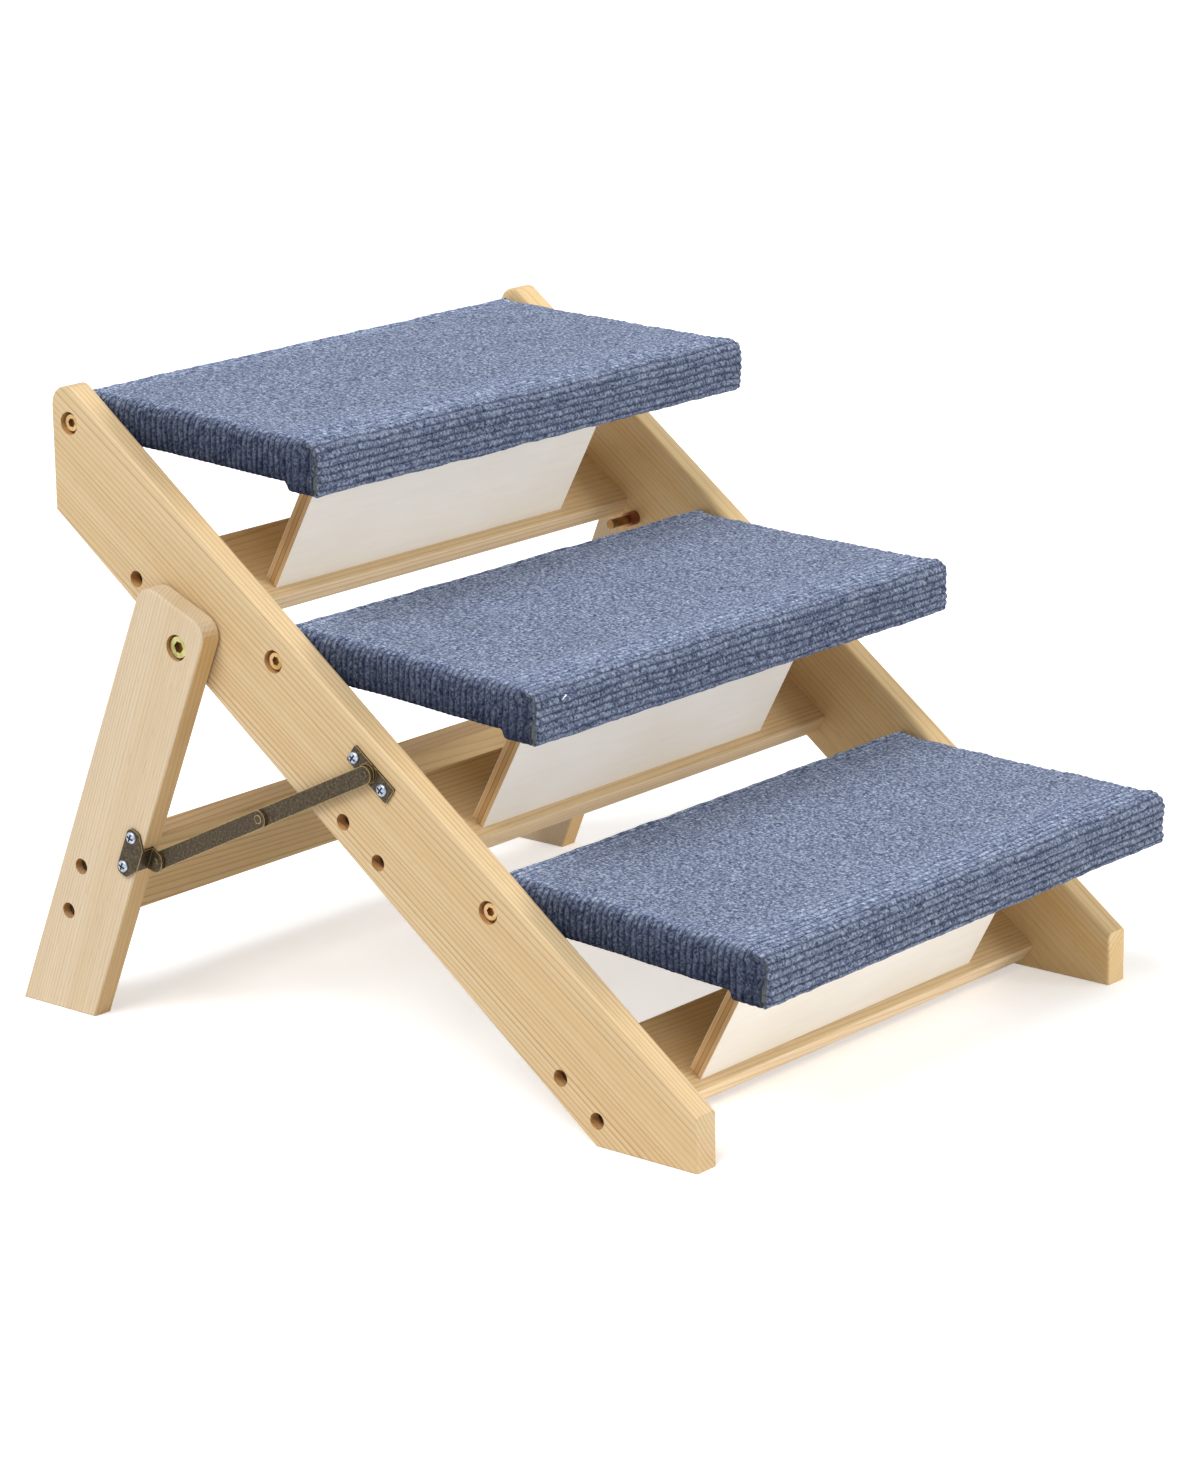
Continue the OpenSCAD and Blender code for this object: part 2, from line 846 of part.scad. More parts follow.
// Riser: its foot stands on the slat, and its head lies under the tread's board.
// Points are in the slope's frame, measured from the tread's bolt.
foot_point = [-slat_below_bolt - slat_width + riser_foot, -slat_depth + face_gap];
riser_up = [-sin(riser_turn), cos(riser_turn)];
riser_out = [cos(riser_turn), sin(riser_turn)];
tread_turn = tread_tilt - slope;
under_dir = [cos(tread_turn), sin(tread_turn)];
under_out = [-sin(tread_turn), cos(tread_turn)];

// Where a line up the riser's face meets a plane parallel to the tread's underside
function meet_under(p, depth) =
    p + riser_up * ((-bolt_height - depth - p * under_out) / (riser_up * under_out));
// Where the riser's rear face meets the slat
foot_rear = foot_point + riser_out * riser_thick - riser_up * (riser_out.y * riser_thick / riser_up.y);

riser_points = [foot_point, foot_rear, meet_under(foot_rear, face_gap), meet_under(foot_point, face_gap)];

// The hinge pin lies this far from the riser's rear face and from the tread's underside
under_corner = meet_under(foot_rear, 0);
hinge_pin = under_corner + (under_dir - riser_up) * pin_off / sin(riser_fold);

// Places of the two hinges, in the slope's frame of a tread's bolt and in the tread's own frame
module at_pins() {
    for (side = [-1, 1])
        translate([side * hinge_x, hinge_pin.x, hinge_pin.y])
            children();
}

module at_tread_pins() {
    rotate([-tread_turn, 0, 0])
        at_pins()
            rotate([tread_turn, 0, 0])
                children();
}

// A riser's leaf lies down its rear face, and is a mirror image of the tread's leaf
module at_riser_pins(step) {
    at_slope(step * bolt_pitch)
        at_pins()
            rotate([riser_turn - 90, 0, 0])
                mirror([0, 0, 1])
                    children();
}

// A hinge leaf, whose flat runs along Y from the pin and is screwed down at this height over it.
// It has every second knuckle, from the one named first.
hinge_wide = knuckles * knuckle_len;

module hinge_leaf(first) {
    flat_from = knuckle_r + face_gap;
    difference() {
        union() {
            translate([-hinge_wide / 2, flat_from, pin_off - leaf])
                cube([hinge_wide, leaf_len - flat_from, leaf]);
            for (k = [first:2:knuckles - 1])
                translate([k * knuckle_len - hinge_wide / 2, 0, 0]) {
                    rod(face_gap / 2, knuckle_len - face_gap / 2, knuckle_r);
                    translate([face_gap / 2, 0, pin_off - leaf])
                        cube([knuckle_len - face_gap, flat_from + leaf, leaf]);
                }
        }
        rod(-hinge_wide, hinge_wide, pin_r + fit);
        at_leaf_screws()
            leaf_screw_hole();
    }
}

module at_leaf_screws() {
    for (side = [-1, 1])
        translate([side * leaf_screw_spread, leaf_len - leaf_screw_edge, pin_off - leaf])
            children();
}

module leaf_screw_hole() {
    translate([0, 0, -over])
        cylinder(h = over + hinge_screw_len + seat_gap, r = hinge_screw_r + fit);
}

module leaf_screw() {
    cylinder(h = hinge_screw_len, r = hinge_screw_r);
    translate([0, 0, -hinge_head_len])
        cylinder(h = hinge_head_len, r = hinge_head_r);
}

module tread_hinge_leaves(step) {
    color(bronze)
        at_tread(step)
            at_tread_pins()
                hinge_leaf(0);
}

module hinge_pins(step) {
    color(steel)
        at_tread(step)
            at_tread_pins()
                rod(-hinge_wide / 2, hinge_wide / 2, pin_r);
}

module tread_hinge_screws(step) {
    color(steel)
        at_tread(step)
            at_tread_pins()
                at_leaf_screws()
                    leaf_screw();
}

module riser(step) {
    color(laminate)
        difference() {
            at_slope(step * bolt_pitch)
                across(-riser_width / 2, riser_width / 2)
                    polygon(riser_points);
            at_riser_pins(step)
                at_leaf_screws()
                    leaf_screw_hole();
        }
}

module riser_hinge_leaves(step) {
    color(bronze)
        at_riser_pins(step)
            hinge_leaf(1);
}

module riser_hinge_screws(step) {
    color(steel)
        at_riser_pins(step)
            at_leaf_screws()
                leaf_screw();
}

rail(-1);  // rail_left
rail(1);  // rail_right
slat(0);  // slat_bottom
slat(1);  // slat_middle
slat(2);  // slat_top
slat_screws();
tread_bolts();
tread_washers();
leg_bolts();
leg_bolt_nuts();
leg_washers();
rail_bracket(-1);  // rail_bracket_left
rail_bracket(1);  // rail_bracket_right
rail_bracket_screws();
rail_bracket_rivets();
leg(-1);  // leg_left
leg(1);  // leg_right
crossbar();
crossbar_screws();
leg_bracket(-1);  // leg_bracket_left
leg_bracket(1);  // leg_bracket_right
leg_bracket_screws();
leg_bracket_rivets();
stay_rear_link(-1);  // stay_rear_link_left
stay_rear_rivet(-1);  // stay_rear_rivet_left
stay_front_link(-1);  // stay_front_link_left
stay_front_rivet(-1);  // stay_front_rivet_left
stay_rear_link(1);  // stay_rear_link_right
stay_rear_rivet(1);  // stay_rear_rivet_right
stay_front_link(1);  // stay_front_link_right
stay_front_rivet(1);  // stay_front_rivet_right
tread_board(0);  // tread_board_bottom
tread_carpet(0);  // tread_carpet_bottom
tread_inserts(0);  // tread_inserts_bottom
tread_hinge_leaves(0);  // tread_hinge_leaves_bottom
hinge_pins(0);  // hinge_pins_bottom
tread_hinge_screws(0);  // tread_hinge_screws_bottom
riser(0);  // riser_bottom
riser_hinge_leaves(0);  // riser_hinge_leaves_bottom
riser_hinge_screws(0);  // riser_hinge_screws_bottom
tread_board(1);  // tread_board_middle
tread_carpet(1);  // tread_carpet_middle
tread_inserts(1);  // tread_inserts_middle
tread_hinge_leaves(1);  // tread_hinge_leaves_middle
hinge_pins(1);  // hinge_pins_middle
tread_hinge_screws(1);  // tread_hinge_screws_middle
riser(1);  // riser_middle
riser_hinge_leaves(1);  // riser_hinge_leaves_middle
riser_hinge_screws(1);  // riser_hinge_screws_middle
tread_board(2);  // tread_board_top
tread_carpet(2);  // tread_carpet_top
tread_inserts(2);  // tread_inserts_top
tread_hinge_leaves(2);  // tread_hinge_leaves_top
hinge_pins(2);  // hinge_pins_top
tread_hinge_screws(2);  // tread_hinge_screws_top
riser(2);  // riser_top
riser_hinge_leaves(2);  // riser_hinge_leaves_top
riser_hinge_screws(2);  // riser_hinge_screws_top
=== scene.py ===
import json
import math
import bpy
import numpy as np
from mathutils import Matrix, Vector


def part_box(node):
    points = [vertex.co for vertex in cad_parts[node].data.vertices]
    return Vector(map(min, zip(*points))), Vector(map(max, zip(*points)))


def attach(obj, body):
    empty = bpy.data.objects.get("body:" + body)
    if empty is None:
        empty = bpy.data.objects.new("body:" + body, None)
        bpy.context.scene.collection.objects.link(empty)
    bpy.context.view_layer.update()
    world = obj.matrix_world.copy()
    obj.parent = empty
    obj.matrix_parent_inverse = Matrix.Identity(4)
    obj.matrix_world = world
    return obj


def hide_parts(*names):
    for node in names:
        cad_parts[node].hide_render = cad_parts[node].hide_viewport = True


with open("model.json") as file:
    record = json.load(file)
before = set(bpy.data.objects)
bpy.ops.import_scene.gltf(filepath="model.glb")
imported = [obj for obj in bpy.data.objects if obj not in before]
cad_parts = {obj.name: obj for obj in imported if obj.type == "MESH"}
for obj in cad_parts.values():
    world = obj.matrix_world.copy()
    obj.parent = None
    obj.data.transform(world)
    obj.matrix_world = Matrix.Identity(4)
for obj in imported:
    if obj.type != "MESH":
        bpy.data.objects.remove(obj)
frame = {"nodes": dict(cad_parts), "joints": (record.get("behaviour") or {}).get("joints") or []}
for leftover in ("Cube", "Light", "Camera"):  # what an empty Blender file starts with
    if leftover in bpy.data.objects:
        bpy.data.objects.remove(bpy.data.objects[leftover])
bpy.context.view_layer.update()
cad = frame["nodes"]
tiers = ("bottom", "middle", "top")
pivotOf = {joint["name"]: np.array(joint["pos_m"]) for joint in frame["joints"]}
stairs = {
    "slope": 36.8,       # rails above the floor, degrees
    "legTilt": 22.75,    # legs back from upright, degrees
    "treadTilt": 2.2,    # treads lean forward, degrees
    "riserLean": 28.1,   # riser heads lean forward from upright, degrees
}
print("frame loaded:", len(cad), "nodes")


# Small helpers for the shader nodes

def newMaterial(name):
    material = bpy.data.materials.new(name)
    material.use_nodes = True
    tree = material.node_tree
    tree.nodes.clear()
    output = tree.nodes.new("ShaderNodeOutputMaterial")
    shader = tree.nodes.new("ShaderNodeBsdfPrincipled")
    tree.links.new(shader.outputs["BSDF"], output.inputs["Surface"])
    return material, tree, shader


def put(tree, socket, value):
    if isinstance(value, bpy.types.NodeSocket):
        tree.links.new(value, socket)
    else:
        socket.default_value = value


def calc(tree, how, a, b=0.0, c=0.0):
    node = tree.nodes.new("ShaderNodeMath")
    node.operation = how
    for socket, value in zip(node.inputs, (a, b, c)):
        put(tree, socket, value)
    return node.outputs[0]


def place(tree, kind="Object"):
    return tree.nodes.new("ShaderNodeTexCoord").outputs[kind]


def along(tree, vector, axis, shift=0.0):
    node = tree.nodes.new("ShaderNodeVectorMath")
    node.operation = "DOT_PRODUCT"
    put(tree, node.inputs[0], vector)
    node.inputs[1].default_value = axis
    return calc(tree, "ADD", node.outputs["Value"], shift)


def join(tree, x, y, z):
    node = tree.nodes.new("ShaderNodeCombineXYZ")
    for socket, value in zip(node.inputs, (x, y, z)):
        put(tree, socket, value)
    return node.outputs[0]


def scaled(tree, vector, scale, shift=(0, 0, 0)):
    node = tree.nodes.new("ShaderNodeMapping")
    put(tree, node.inputs["Vector"], vector)
    node.inputs["Scale"].default_value = scale
    node.inputs["Location"].default_value = shift
    return node.outputs[0]


def noise(tree, vector, scale=1.0, detail=2.0, rough=0.5):
    node = tree.nodes.new("ShaderNodeTexNoise")
    put(tree, node.inputs["Vector"], vector)
    node.inputs["Scale"].default_value = scale
    node.inputs["Detail"].default_value = detail
    node.inputs["Roughness"].default_value = rough
    return node.outputs["Fac"]


def noiseLine(tree, value, detail=1.0):
    node = tree.nodes.new("ShaderNodeTexNoise")
    node.noise_dimensions = "1D"
    put(tree, node.inputs["W"], value)
    node.inputs["Scale"].default_value = 1.0
    node.inputs["Detail"].default_value = detail
    return node.outputs["Fac"]


def dice(tree, value):
    node = tree.nodes.new("ShaderNodeTexWhiteNoise")
    node.noise_dimensions = "1D"
    put(tree, node.inputs["W"], value)
    return node.outputs["Value"]


def ramp(tree, value, stops):
    node = tree.nodes.new("ShaderNodeValToRGB")
    put(tree, node.inputs["Fac"], value)
    points = node.color_ramp.elements
    while len(points) < len(stops):
        points.new(0.5)
    for point, (at, colour) in zip(points, stops):
        point.position = at
        grey = not hasattr(colour, "__len__")
        point.color = (colour,) * 3 + (1,) if grey else (*colour, 1)
    return node.outputs["Color"]


def span(tree, value, low, high, fromLow=0.0, fromHigh=1.0):
    node = tree.nodes.new("ShaderNodeMapRange")
    put(tree, node.inputs["Value"], value)
    node.inputs["From Min"].default_value = fromLow
    node.inputs["From Max"].default_value = fromHigh
    node.inputs["To Min"].default_value = low
    node.inputs["To Max"].default_value = high
    return node.outputs["Result"]


def blend(tree, factor, a, b, how="MIX"):
    node = tree.nodes.new("ShaderNodeMix")
    node.data_type = "RGBA"
    node.blend_type = how
    put(tree, node.inputs["Factor"], factor)
    for socket, value in ((node.inputs[6], a), (node.inputs[7], b)):
        put(tree, socket, (*value, 1) if isinstance(value, tuple) else value)
    return node.outputs[2]


def tinted(tree, colour, where, tint):
    return blend(tree, 1.0, colour, blend(tree, where, (1.0, 1.0, 1.0), tint), "MULTIPLY")


def awayFrom(tree, spot, axes):  # distance from the nearest of the lines along X through those (y, z)
    flat, away = scaled(tree, spot, (0, 1, 1)), 1.0
    for axis in axes:
        node = tree.nodes.new("ShaderNodeVectorMath")
        node.operation = "DISTANCE"
        put(tree, node.inputs[0], flat)
        node.inputs[1].default_value = (0, *axis)
        away = calc(tree, "MINIMUM", away, node.outputs["Value"])
    return away


def bump(tree, shader, height, depth):
    node = tree.nodes.new("ShaderNodeBump")
    node.inputs["Distance"].default_value = depth
    put(tree, node.inputs["Height"], height)
    put(tree, shader.inputs["Normal"], node.outputs["Normal"])


def rgb(r, g, b):  # a colour as it reads on a screen, made linear: ((c + 0.055) / 1.055) ^ 2.4
    return tuple(((c / 255 + 0.055) / 1.055) ** 2.4 for c in (r, g, b))


# Pine: rings round a pith line that runs nearly along the board, cut through by every face

pine = {
    "pale": rgb(220, 196, 155), "warm": rgb(211, 180, 133), "line": rgb(166, 121, 65),
    "fleck": rgb(166, 126, 78),
    "ringWidth": 0.0026,
    "wobble": (0.003, 0.0003),     # of the rings, slow and quick, metres
    "bands": 55, "bandShift": 0.7,   # groups of narrow and wide rings per metre, and their shift in rings
    "runOut": (0.018, 0.022),      # by which the pith line leaves the board's direction, across and through
    "roughness": (0.42, 0.62),
    "specular": 0.32,
    "grainDepth": 0.00012,
    "narrowFaceLightShade": (1.2, 1.21, 1.22),   # painted light and shade on the narrow faces against the wide ones: above 1 lighter, below 1 darker
    # painted shade on the bore walls: its tint, how far it reaches from an axis, how far short of the side
    # face it stops
    "boreShade": (0.8, 0.61, 0.43), "boreReach": 0.009, "boreDeep": 0.0004,
}


def otherPine(pale, warm, line, narrowFaceLightShade, ringWidth=pine["ringWidth"]):  # the same wood in other colours, with its own painted light and shade on the narrow faces
    return dict(pine, pale=rgb(*pale), warm=rgb(*warm), line=rgb(*line),
                narrowFaceLightShade=narrowFaceLightShade, ringWidth=ringWidth)


# the far rail's paler colours are painted light, making up for the treads' shadow on its inner face
litFarPine = otherPine((238, 210, 160), (231, 194, 134), (186, 138, 76), (1, 1, 1))
# on the legs the narrow-face tint is a painted shade, on the slats a painted light on the front edges
legPine = otherPine((219, 200, 171), (213, 190, 155), (186, 150, 102), (0.98, 0.82, 0.56), 0.0021)
slatPine = otherPine((226, 197, 151), (218, 184, 132), (163, 118, 63), (1.38, 1.48, 1.74))
# the crossbar's darker colours are painted shade, as it lies in the rails' shadow
shadedBarPine = otherPine((217, 188, 140), (209, 176, 122), (166, 128, 76), (0.92, 0.9, 0.93), 0.0042)


# radius = |(across, through) - pith| + slow wobble, and the place in a ring is fract(radius / ringWidth).
# A ring darkens slowly outwards and ends sharply; every ring has its own strength, from white noise.
# Narrow faces are where |normal . across| is near 1; their tint is painted light above 1 and painted shade
# below 1. Bore walls lie near an axis, but short of the side face, and get a painted shade.
def pineMaterial(name, run, across, pith, seed, lines, wood, outside, axes):
    material, tree, shader = newMaterial(name)
    spot = place(tree)
    through = run.cross(across)
    u = along(tree, spot, run, seed * 3.7)
    v, w = (calc(tree, "MULTIPLY_ADD", along(tree, spot, run), runOut, along(tree, spot, axis, -centre))
            for axis, runOut, centre in zip((across, through), wood["runOut"], pith))

    def grain(alongRun, acrossRun, detail=1.0, rough=0.5):
        stretched = [calc(tree, "MULTIPLY", d, k) for d, k in ((u, alongRun), (v, acrossRun), (w, acrossRun))]
        return noise(tree, join(tree, *stretched), 1.0, detail, rough)

    radius = calc(tree, "SQRT", calc(tree, "ADD", calc(tree, "MULTIPLY", v, v), calc(tree, "MULTIPLY", w, w)))
    slow, quick = wood["wobble"]
    radius = calc(tree, "ADD", radius, span(tree, grain(1.4, 7), -slow, slow))
    radius = calc(tree, "ADD", radius, span(tree, grain(8, 60), -quick, quick))
    band = noiseLine(tree, calc(tree, "MULTIPLY_ADD", radius, wood["bands"], seed), 1.0)
    shift = span(tree, band, -wood["bandShift"], wood["bandShift"])
    ring = calc(tree, "ADD", calc(tree, "DIVIDE", radius, wood["ringWidth"]), shift)
    late = ramp(tree, calc(tree, "FRACT", ring),
                [(0.0, 0.25), (0.06, 0.02), (0.5, 0.03), (0.74, 0.32), (0.86, 0.9), (0.93, 1.0), (1.0, 0.25)])
    force = span(tree, dice(tree, calc(tree, "ADD", calc(tree, "FLOOR", ring), seed)), 0.5, 1.0)
    calm = span(tree, grain(2.0, 24), 0.55, 1.1, 0.35, 0.65)
    amount = calc(tree, "MULTIPLY", calc(tree, "MULTIPLY", late, force), calc(tree, "MULTIPLY", calm, lines))
    fibre = grain(16, 700, 3.0, 0.6)
    fleck = grain(70, 1500)
    tone = calc(tree, "MULTIPLY_ADD", band, 0.5, calc(tree, "MULTIPLY", grain(3, 20), 0.5))
    colour = blend(tree, span(tree, tone, 0.0, 0.75, 0.36, 0.66), wood["pale"], wood["warm"])
    colour = blend(tree, amount, colour, wood["line"])
    colour = blend(tree, span(tree, fleck, 0.0, 0.4, 0.64, 0.8), colour, wood["fleck"])
    colour = blend(tree, 1.0, colour, ramp(tree, fibre, [(0.25, 0.9), (0.7, 1.0)]), "MULTIPLY")
    # painted light and shade: the narrow faces are tinted by the wood's narrow-face tint
    facing = calc(tree, "ABSOLUTE", along(tree, place(tree, "Normal"), across))
    colour = tinted(tree, colour, span(tree, facing, 0.0, 1.0, 0.65, 0.97), wood["narrowFaceLightShade"])
    # painted shade on the bore walls
    fromMiddle = calc(tree, "ABSOLUTE", along(tree, spot, (1, 0, 0)))
    inside = calc(tree, "LESS_THAN", fromMiddle, outside - wood["boreDeep"])
    bore = calc(tree, "LESS_THAN", awayFrom(tree, spot, axes), wood["boreReach"])
    colour = tinted(tree, colour, calc(tree, "MULTIPLY", inside, bore), wood["boreShade"])
    put(tree, shader.inputs["Base Color"], colour)
    put(tree, shader.inputs["Roughness"], span(tree, fibre, *wood["roughness"]))
    shader.inputs["Specular IOR Level"].default_value = wood["specular"]
    bump(tree, shader, calc(tree, "MULTIPLY_ADD", amount, 0.6, fibre), wood["grainDepth"])
    return material


def turned(angle):  # the direction in the side plane at that angle above +Y: (0, cos, sin)
    return (0.0, math.cos(math.radians(angle)), math.sin(math.radians(angle)))


def dress(node, material):
    cad[node].data.materials.clear()
    cad[node].data.materials.append(material)


def pointsOf(node):
    mesh = cad[node].data
    points = np.zeros(len(mesh.vertices) * 3)
    mesh.vertices.foreach_get("co", points)
    return points.reshape(-1, 3)


def dressBoard(node, run, across, pithAway, seed, lines, wood, axes=()):
    low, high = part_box(node)
    middle = (low + high) / 2
    run, across = Vector(run).normalized(), Vector(across).normalized()
    pith = (middle.dot(across) + pithAway[0], middle.dot(run.cross(across)) + pithAway[1])
    outside = max(abs(low.x), abs(high.x))
    dress(node, pineMaterial("pine_" + node, run, across, pith, seed, lines, wood, outside, axes))


treadAxes = [tuple(pivotOf[tier + "_tread_lift"][1:]) for tier in tiers]  # (y, z) of the bolts
legAxis = [tuple(pivotOf["legs_fold"][1:])]
bores = {  # (y, z) of the screws and bolts that stand in deep holes
    "rail": [(-0.1692, 0.0155), (-0.1427, 0.0353), (-0.0074, 0.1365), (0.0190, 0.1563), (0.1543, 0.2575),
             (0.1808, 0.2773)] + treadAxes,
    "leg": [(0.2223, 0.0952), (0.2351, 0.0648)] + legAxis,
}
up = stairs["slope"]
legUp = 90 + stairs["legTilt"]
# direction of the grain, and across it, pith from the middle, seed, strength of the lines, wood, bores
boards = {
    "rail_left": (turned(up), turned(up + 90), (0.062, 0.06), 1.3, 0.75, pine, bores["rail"]),
    "rail_right": (turned(up), turned(up + 90), (-0.05, 0.03), 4.1, 0.4, litFarPine, bores["rail"]),
    "leg_left": (turned(legUp), turned(legUp + 90), (0.10, 0.05), 7.9, 0.6, legPine, bores["leg"]),
    "leg_right": (turned(legUp), turned(legUp + 90), (0.09, 0.06), 9.4, 0.5, legPine, bores["leg"]),
    "slat_bottom": ((1, 0, 0), turned(up), (0.05, 0.03), 12.2, 0.6, slatPine),
    "slat_middle": ((1, 0, 0), turned(up), (-0.05, 0.04), 15.6, 0.6, slatPine),
    "slat_top": ((1, 0, 0), turned(up), (0.04, -0.04), 18.3, 0.6, slatPine),
    "crossbar": ((1, 0, 0), turned(legUp), (0.03, 0.03), 21.7, 0.9, shadedBarPine),
}
for node, values in boards.items():
    dressBoard(node, *values)
print("pine boards dressed")


# Risers: a pale smooth face on thin plywood, three plies showing at the edges

riserBoard = {
    "thick": 0.0095,
    "veneer": 0.0003,
    "face": rgb(253, 248, 240),
    "faceWarm": rgb(248, 240, 226),
    "plies": [rgb(236, 204, 156), rgb(214, 176, 126), rgb(232, 198, 150)],
    "glue": rgb(132, 86, 48),
}


def seedOf(tier):
    return 5.0 * tiers.index(tier) + 2.0


# share = (place - front face) . normal / thickness, and the ply at that depth is picked by a stepped ramp
def riserMaterial(tier):
    board = riserBoard
    material, tree, shader = newMaterial("riser_" + tier)
    lean = math.radians(stairs["riserLean"])
    normal = Vector((0, math.cos(lean), math.sin(lean)))
    front = float((pointsOf("riser_" + tier) @ np.array(normal)).min())
    spot = place(tree)
    depth = along(tree, spot, normal, -front)
    share = calc(tree, "DIVIDE", depth, board["thick"])
    rim = board["veneer"] / board["thick"]
    plies = ramp(tree, share, [
        (0.0, board["face"]), (rim, board["plies"][0]), (0.3, board["plies"][0]),
        (0.325, board["glue"]), (0.36, board["plies"][1]), (0.62, board["plies"][1]),
        (0.65, board["glue"]), (0.68, board["plies"][2]), (1 - rim, board["plies"][2]), (1.0, board["face"])])
    upwards = along(tree, spot, (0, math.sin(lean), -math.cos(lean)))
    streak = join(tree, calc(tree, "MULTIPLY", depth, 2600), calc(tree, "MULTIPLY", upwards, 40), 0.0)
    streak = noise(tree, streak, 1.0, 2.0, 0.6)
    edge = blend(tree, 1.0, plies, ramp(tree, streak, [(0.32, 0.78), (0.6, 1.0)]), "MULTIPLY")
    mottle = noise(tree, scaled(tree, spot, (9, 5, 14), (seedOf(tier), 0, 0)), 1.0, 3.0)
    face = blend(tree, span(tree, mottle, 0.0, 1.0, 0.35, 0.68), board["face"], board["faceWarm"])
    grain = noise(tree, scaled(tree, spot, (22, 260, 260)), 1.0, 3.0, 0.6)
    face = blend(tree, 1.0, face, ramp(tree, grain, [(0.3, 0.965), (0.7, 1.0)]), "MULTIPLY")
    onFace = calc(tree, "GREATER_THAN", calc(tree, "ABSOLUTE", calc(tree, "SUBTRACT", share, 0.5)), 0.5 - rim)
    put(tree, shader.inputs["Base Color"], blend(tree, onFace, edge, face))
    put(tree, shader.inputs["Roughness"], span(tree, grain, 0.36, 0.5))
    shader.inputs["Specular IOR Level"].default_value = 0.3
    bump(tree, shader, grain, 0.00005)
    return material


for tier in tiers:
    dress("riser_" + tier, riserMaterial(tier))
    tilt = turned(stairs["treadTilt"])
    dressBoard("tread_board_" + tier, (1, 0, 0), tilt, (0.05, -0.02), 30 + seedOf(tier), 0.8, pine)
print("risers and tread boards dressed")


# Metal: antique brass on stays and hinges, bright screws, yellow zinc on the bolts

# three colours from hollow to worn, how metallic, how rough, its clouds and its grit per metre
metals = {
    "brass": ((54, 45, 32), (71, 60, 43), (103, 87, 61), 0.6, (0.3, 0.46), 700, 2600),
    "steel": ((136, 146, 164), (186, 196, 212), (224, 230, 240), 0.85, (0.22, 0.42), 380, 2600),
    # dark brown steel: painted shade for the screws deep in holes
    "shadedSunkSteel": ((58, 40, 26), (80, 58, 38), (108, 82, 58), 0.4, (0.5, 0.7), 380, 2600),
    "zinc": ((190, 148, 86), (216, 180, 122), (226, 170, 140), 0.7, (0.22, 0.38), 60, 1500),
    "nutZinc": ((112, 58, 40), (146, 84, 58), (178, 120, 84), 0.7, (0.25, 0.4), 60, 1500),
    "greenZinc": ((150, 152, 92), (202, 198, 130), (222, 206, 142), 0.7, (0.22, 0.38), 90, 1500),
}


# colour = ramp of a cloudy noise x a finer grit.
# Painted shade fills the drive recesses: it darkens what lies deep below the heads' top |x| and near one of
# their axes.
# Edges turn a lighter brass, partly rubbed wear and partly a painted highlight, where the normal, softened
# over a width, leaves the face's own normal.
def metalMaterial(name, kind, recessShade=None, top=0.0, axes=(), wearAndHighlight=None):
    low, mid, high, metal, rough, clouds, grits = metals[kind]
    material, tree, shader = newMaterial(name)
    spot = place(tree)
    cloud = noise(tree, spot, clouds, 3.0, 0.6)
    grit = noise(tree, spot, grits, 2.0, 0.6)
    colour = ramp(tree, cloud, [(0.32, rgb(*low)), (0.5, rgb(*mid)), (0.7, rgb(*high))])
    colour = blend(tree, 1.0, colour, ramp(tree, grit, [(0.35, 0.78), (0.62, 1.0)]), "MULTIPLY")
    # painted shade in the drive recesses
    if recessShade:
        deep, wide, dark = recessShade
        sunk = calc(tree, "LESS_THAN", calc(tree, "ABSOLUTE", along(tree, spot, (1, 0, 0))), top - deep)
        inside = calc(tree, "MULTIPLY", sunk, calc(tree, "LESS_THAN", awayFrom(tree, spot, axes), wide))
        colour = tinted(tree, colour, inside, dark)
    # lighter edges: partly wear, partly a painted highlight
    if wearAndHighlight:
        width, shine = wearAndHighlight
        bevel = tree.nodes.new("ShaderNodeBevel")
        bevel.samples = 6
        bevel.inputs["Radius"].default_value = width
        flat = tree.nodes.new("ShaderNodeVectorMath")
        flat.operation = "DOT_PRODUCT"
        tree.links.new(bevel.outputs["Normal"], flat.inputs[0])
        tree.links.new(tree.nodes.new("ShaderNodeNewGeometry").outputs["Normal"], flat.inputs[1])
        worn = span(tree, flat.outputs["Value"], 0.0, 1.0, 0.98, 0.85)
        worn = calc(tree, "MULTIPLY", worn, span(tree, grit, 0.6, 1.0, 0.3, 0.6))
        colour = blend(tree, worn, colour, shine)
    put(tree, shader.inputs["Base Color"], colour)
    shader.inputs["Metallic"].default_value = metal
    put(tree, shader.inputs["Roughness"], span(tree, cloud, rough[1], rough[0], 0.3, 0.7))
    bump(tree, shader, grit, 0.00005)
    return material


def reach(node):  # how far a node stands from the middle plane
    return max(abs(corner.x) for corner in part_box(node))


# the axes of two screws, a head's radius inside the corners of their box
def pairAxes(node, headRadius, rising):
    low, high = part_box(node)
    y0, y1, z0, z1 = low.y + headRadius, high.y - headRadius, low.z + headRadius, high.z - headRadius
    return ((y0, z0), (y1, z1)) if rising else ((y1, z0), (y0, z1))


brass = metalMaterial("antique_brass", "brass", wearAndHighlight=(0.0009, rgb(206, 178, 120)))
steel = metalMaterial("screw_steel", "steel")
shadedSunkSteel = metalMaterial("shaded_sunk_screw_steel", "shadedSunkSteel")
for node in cad:
    if node.startswith(("stay_", "rail_bracket", "leg_bracket")) or "hinge_leaves" in node:
        dress(node, brass)
    if "screws" in node or "washers" in node or "pins" in node or "inserts" in node:
        dress(node, steel)
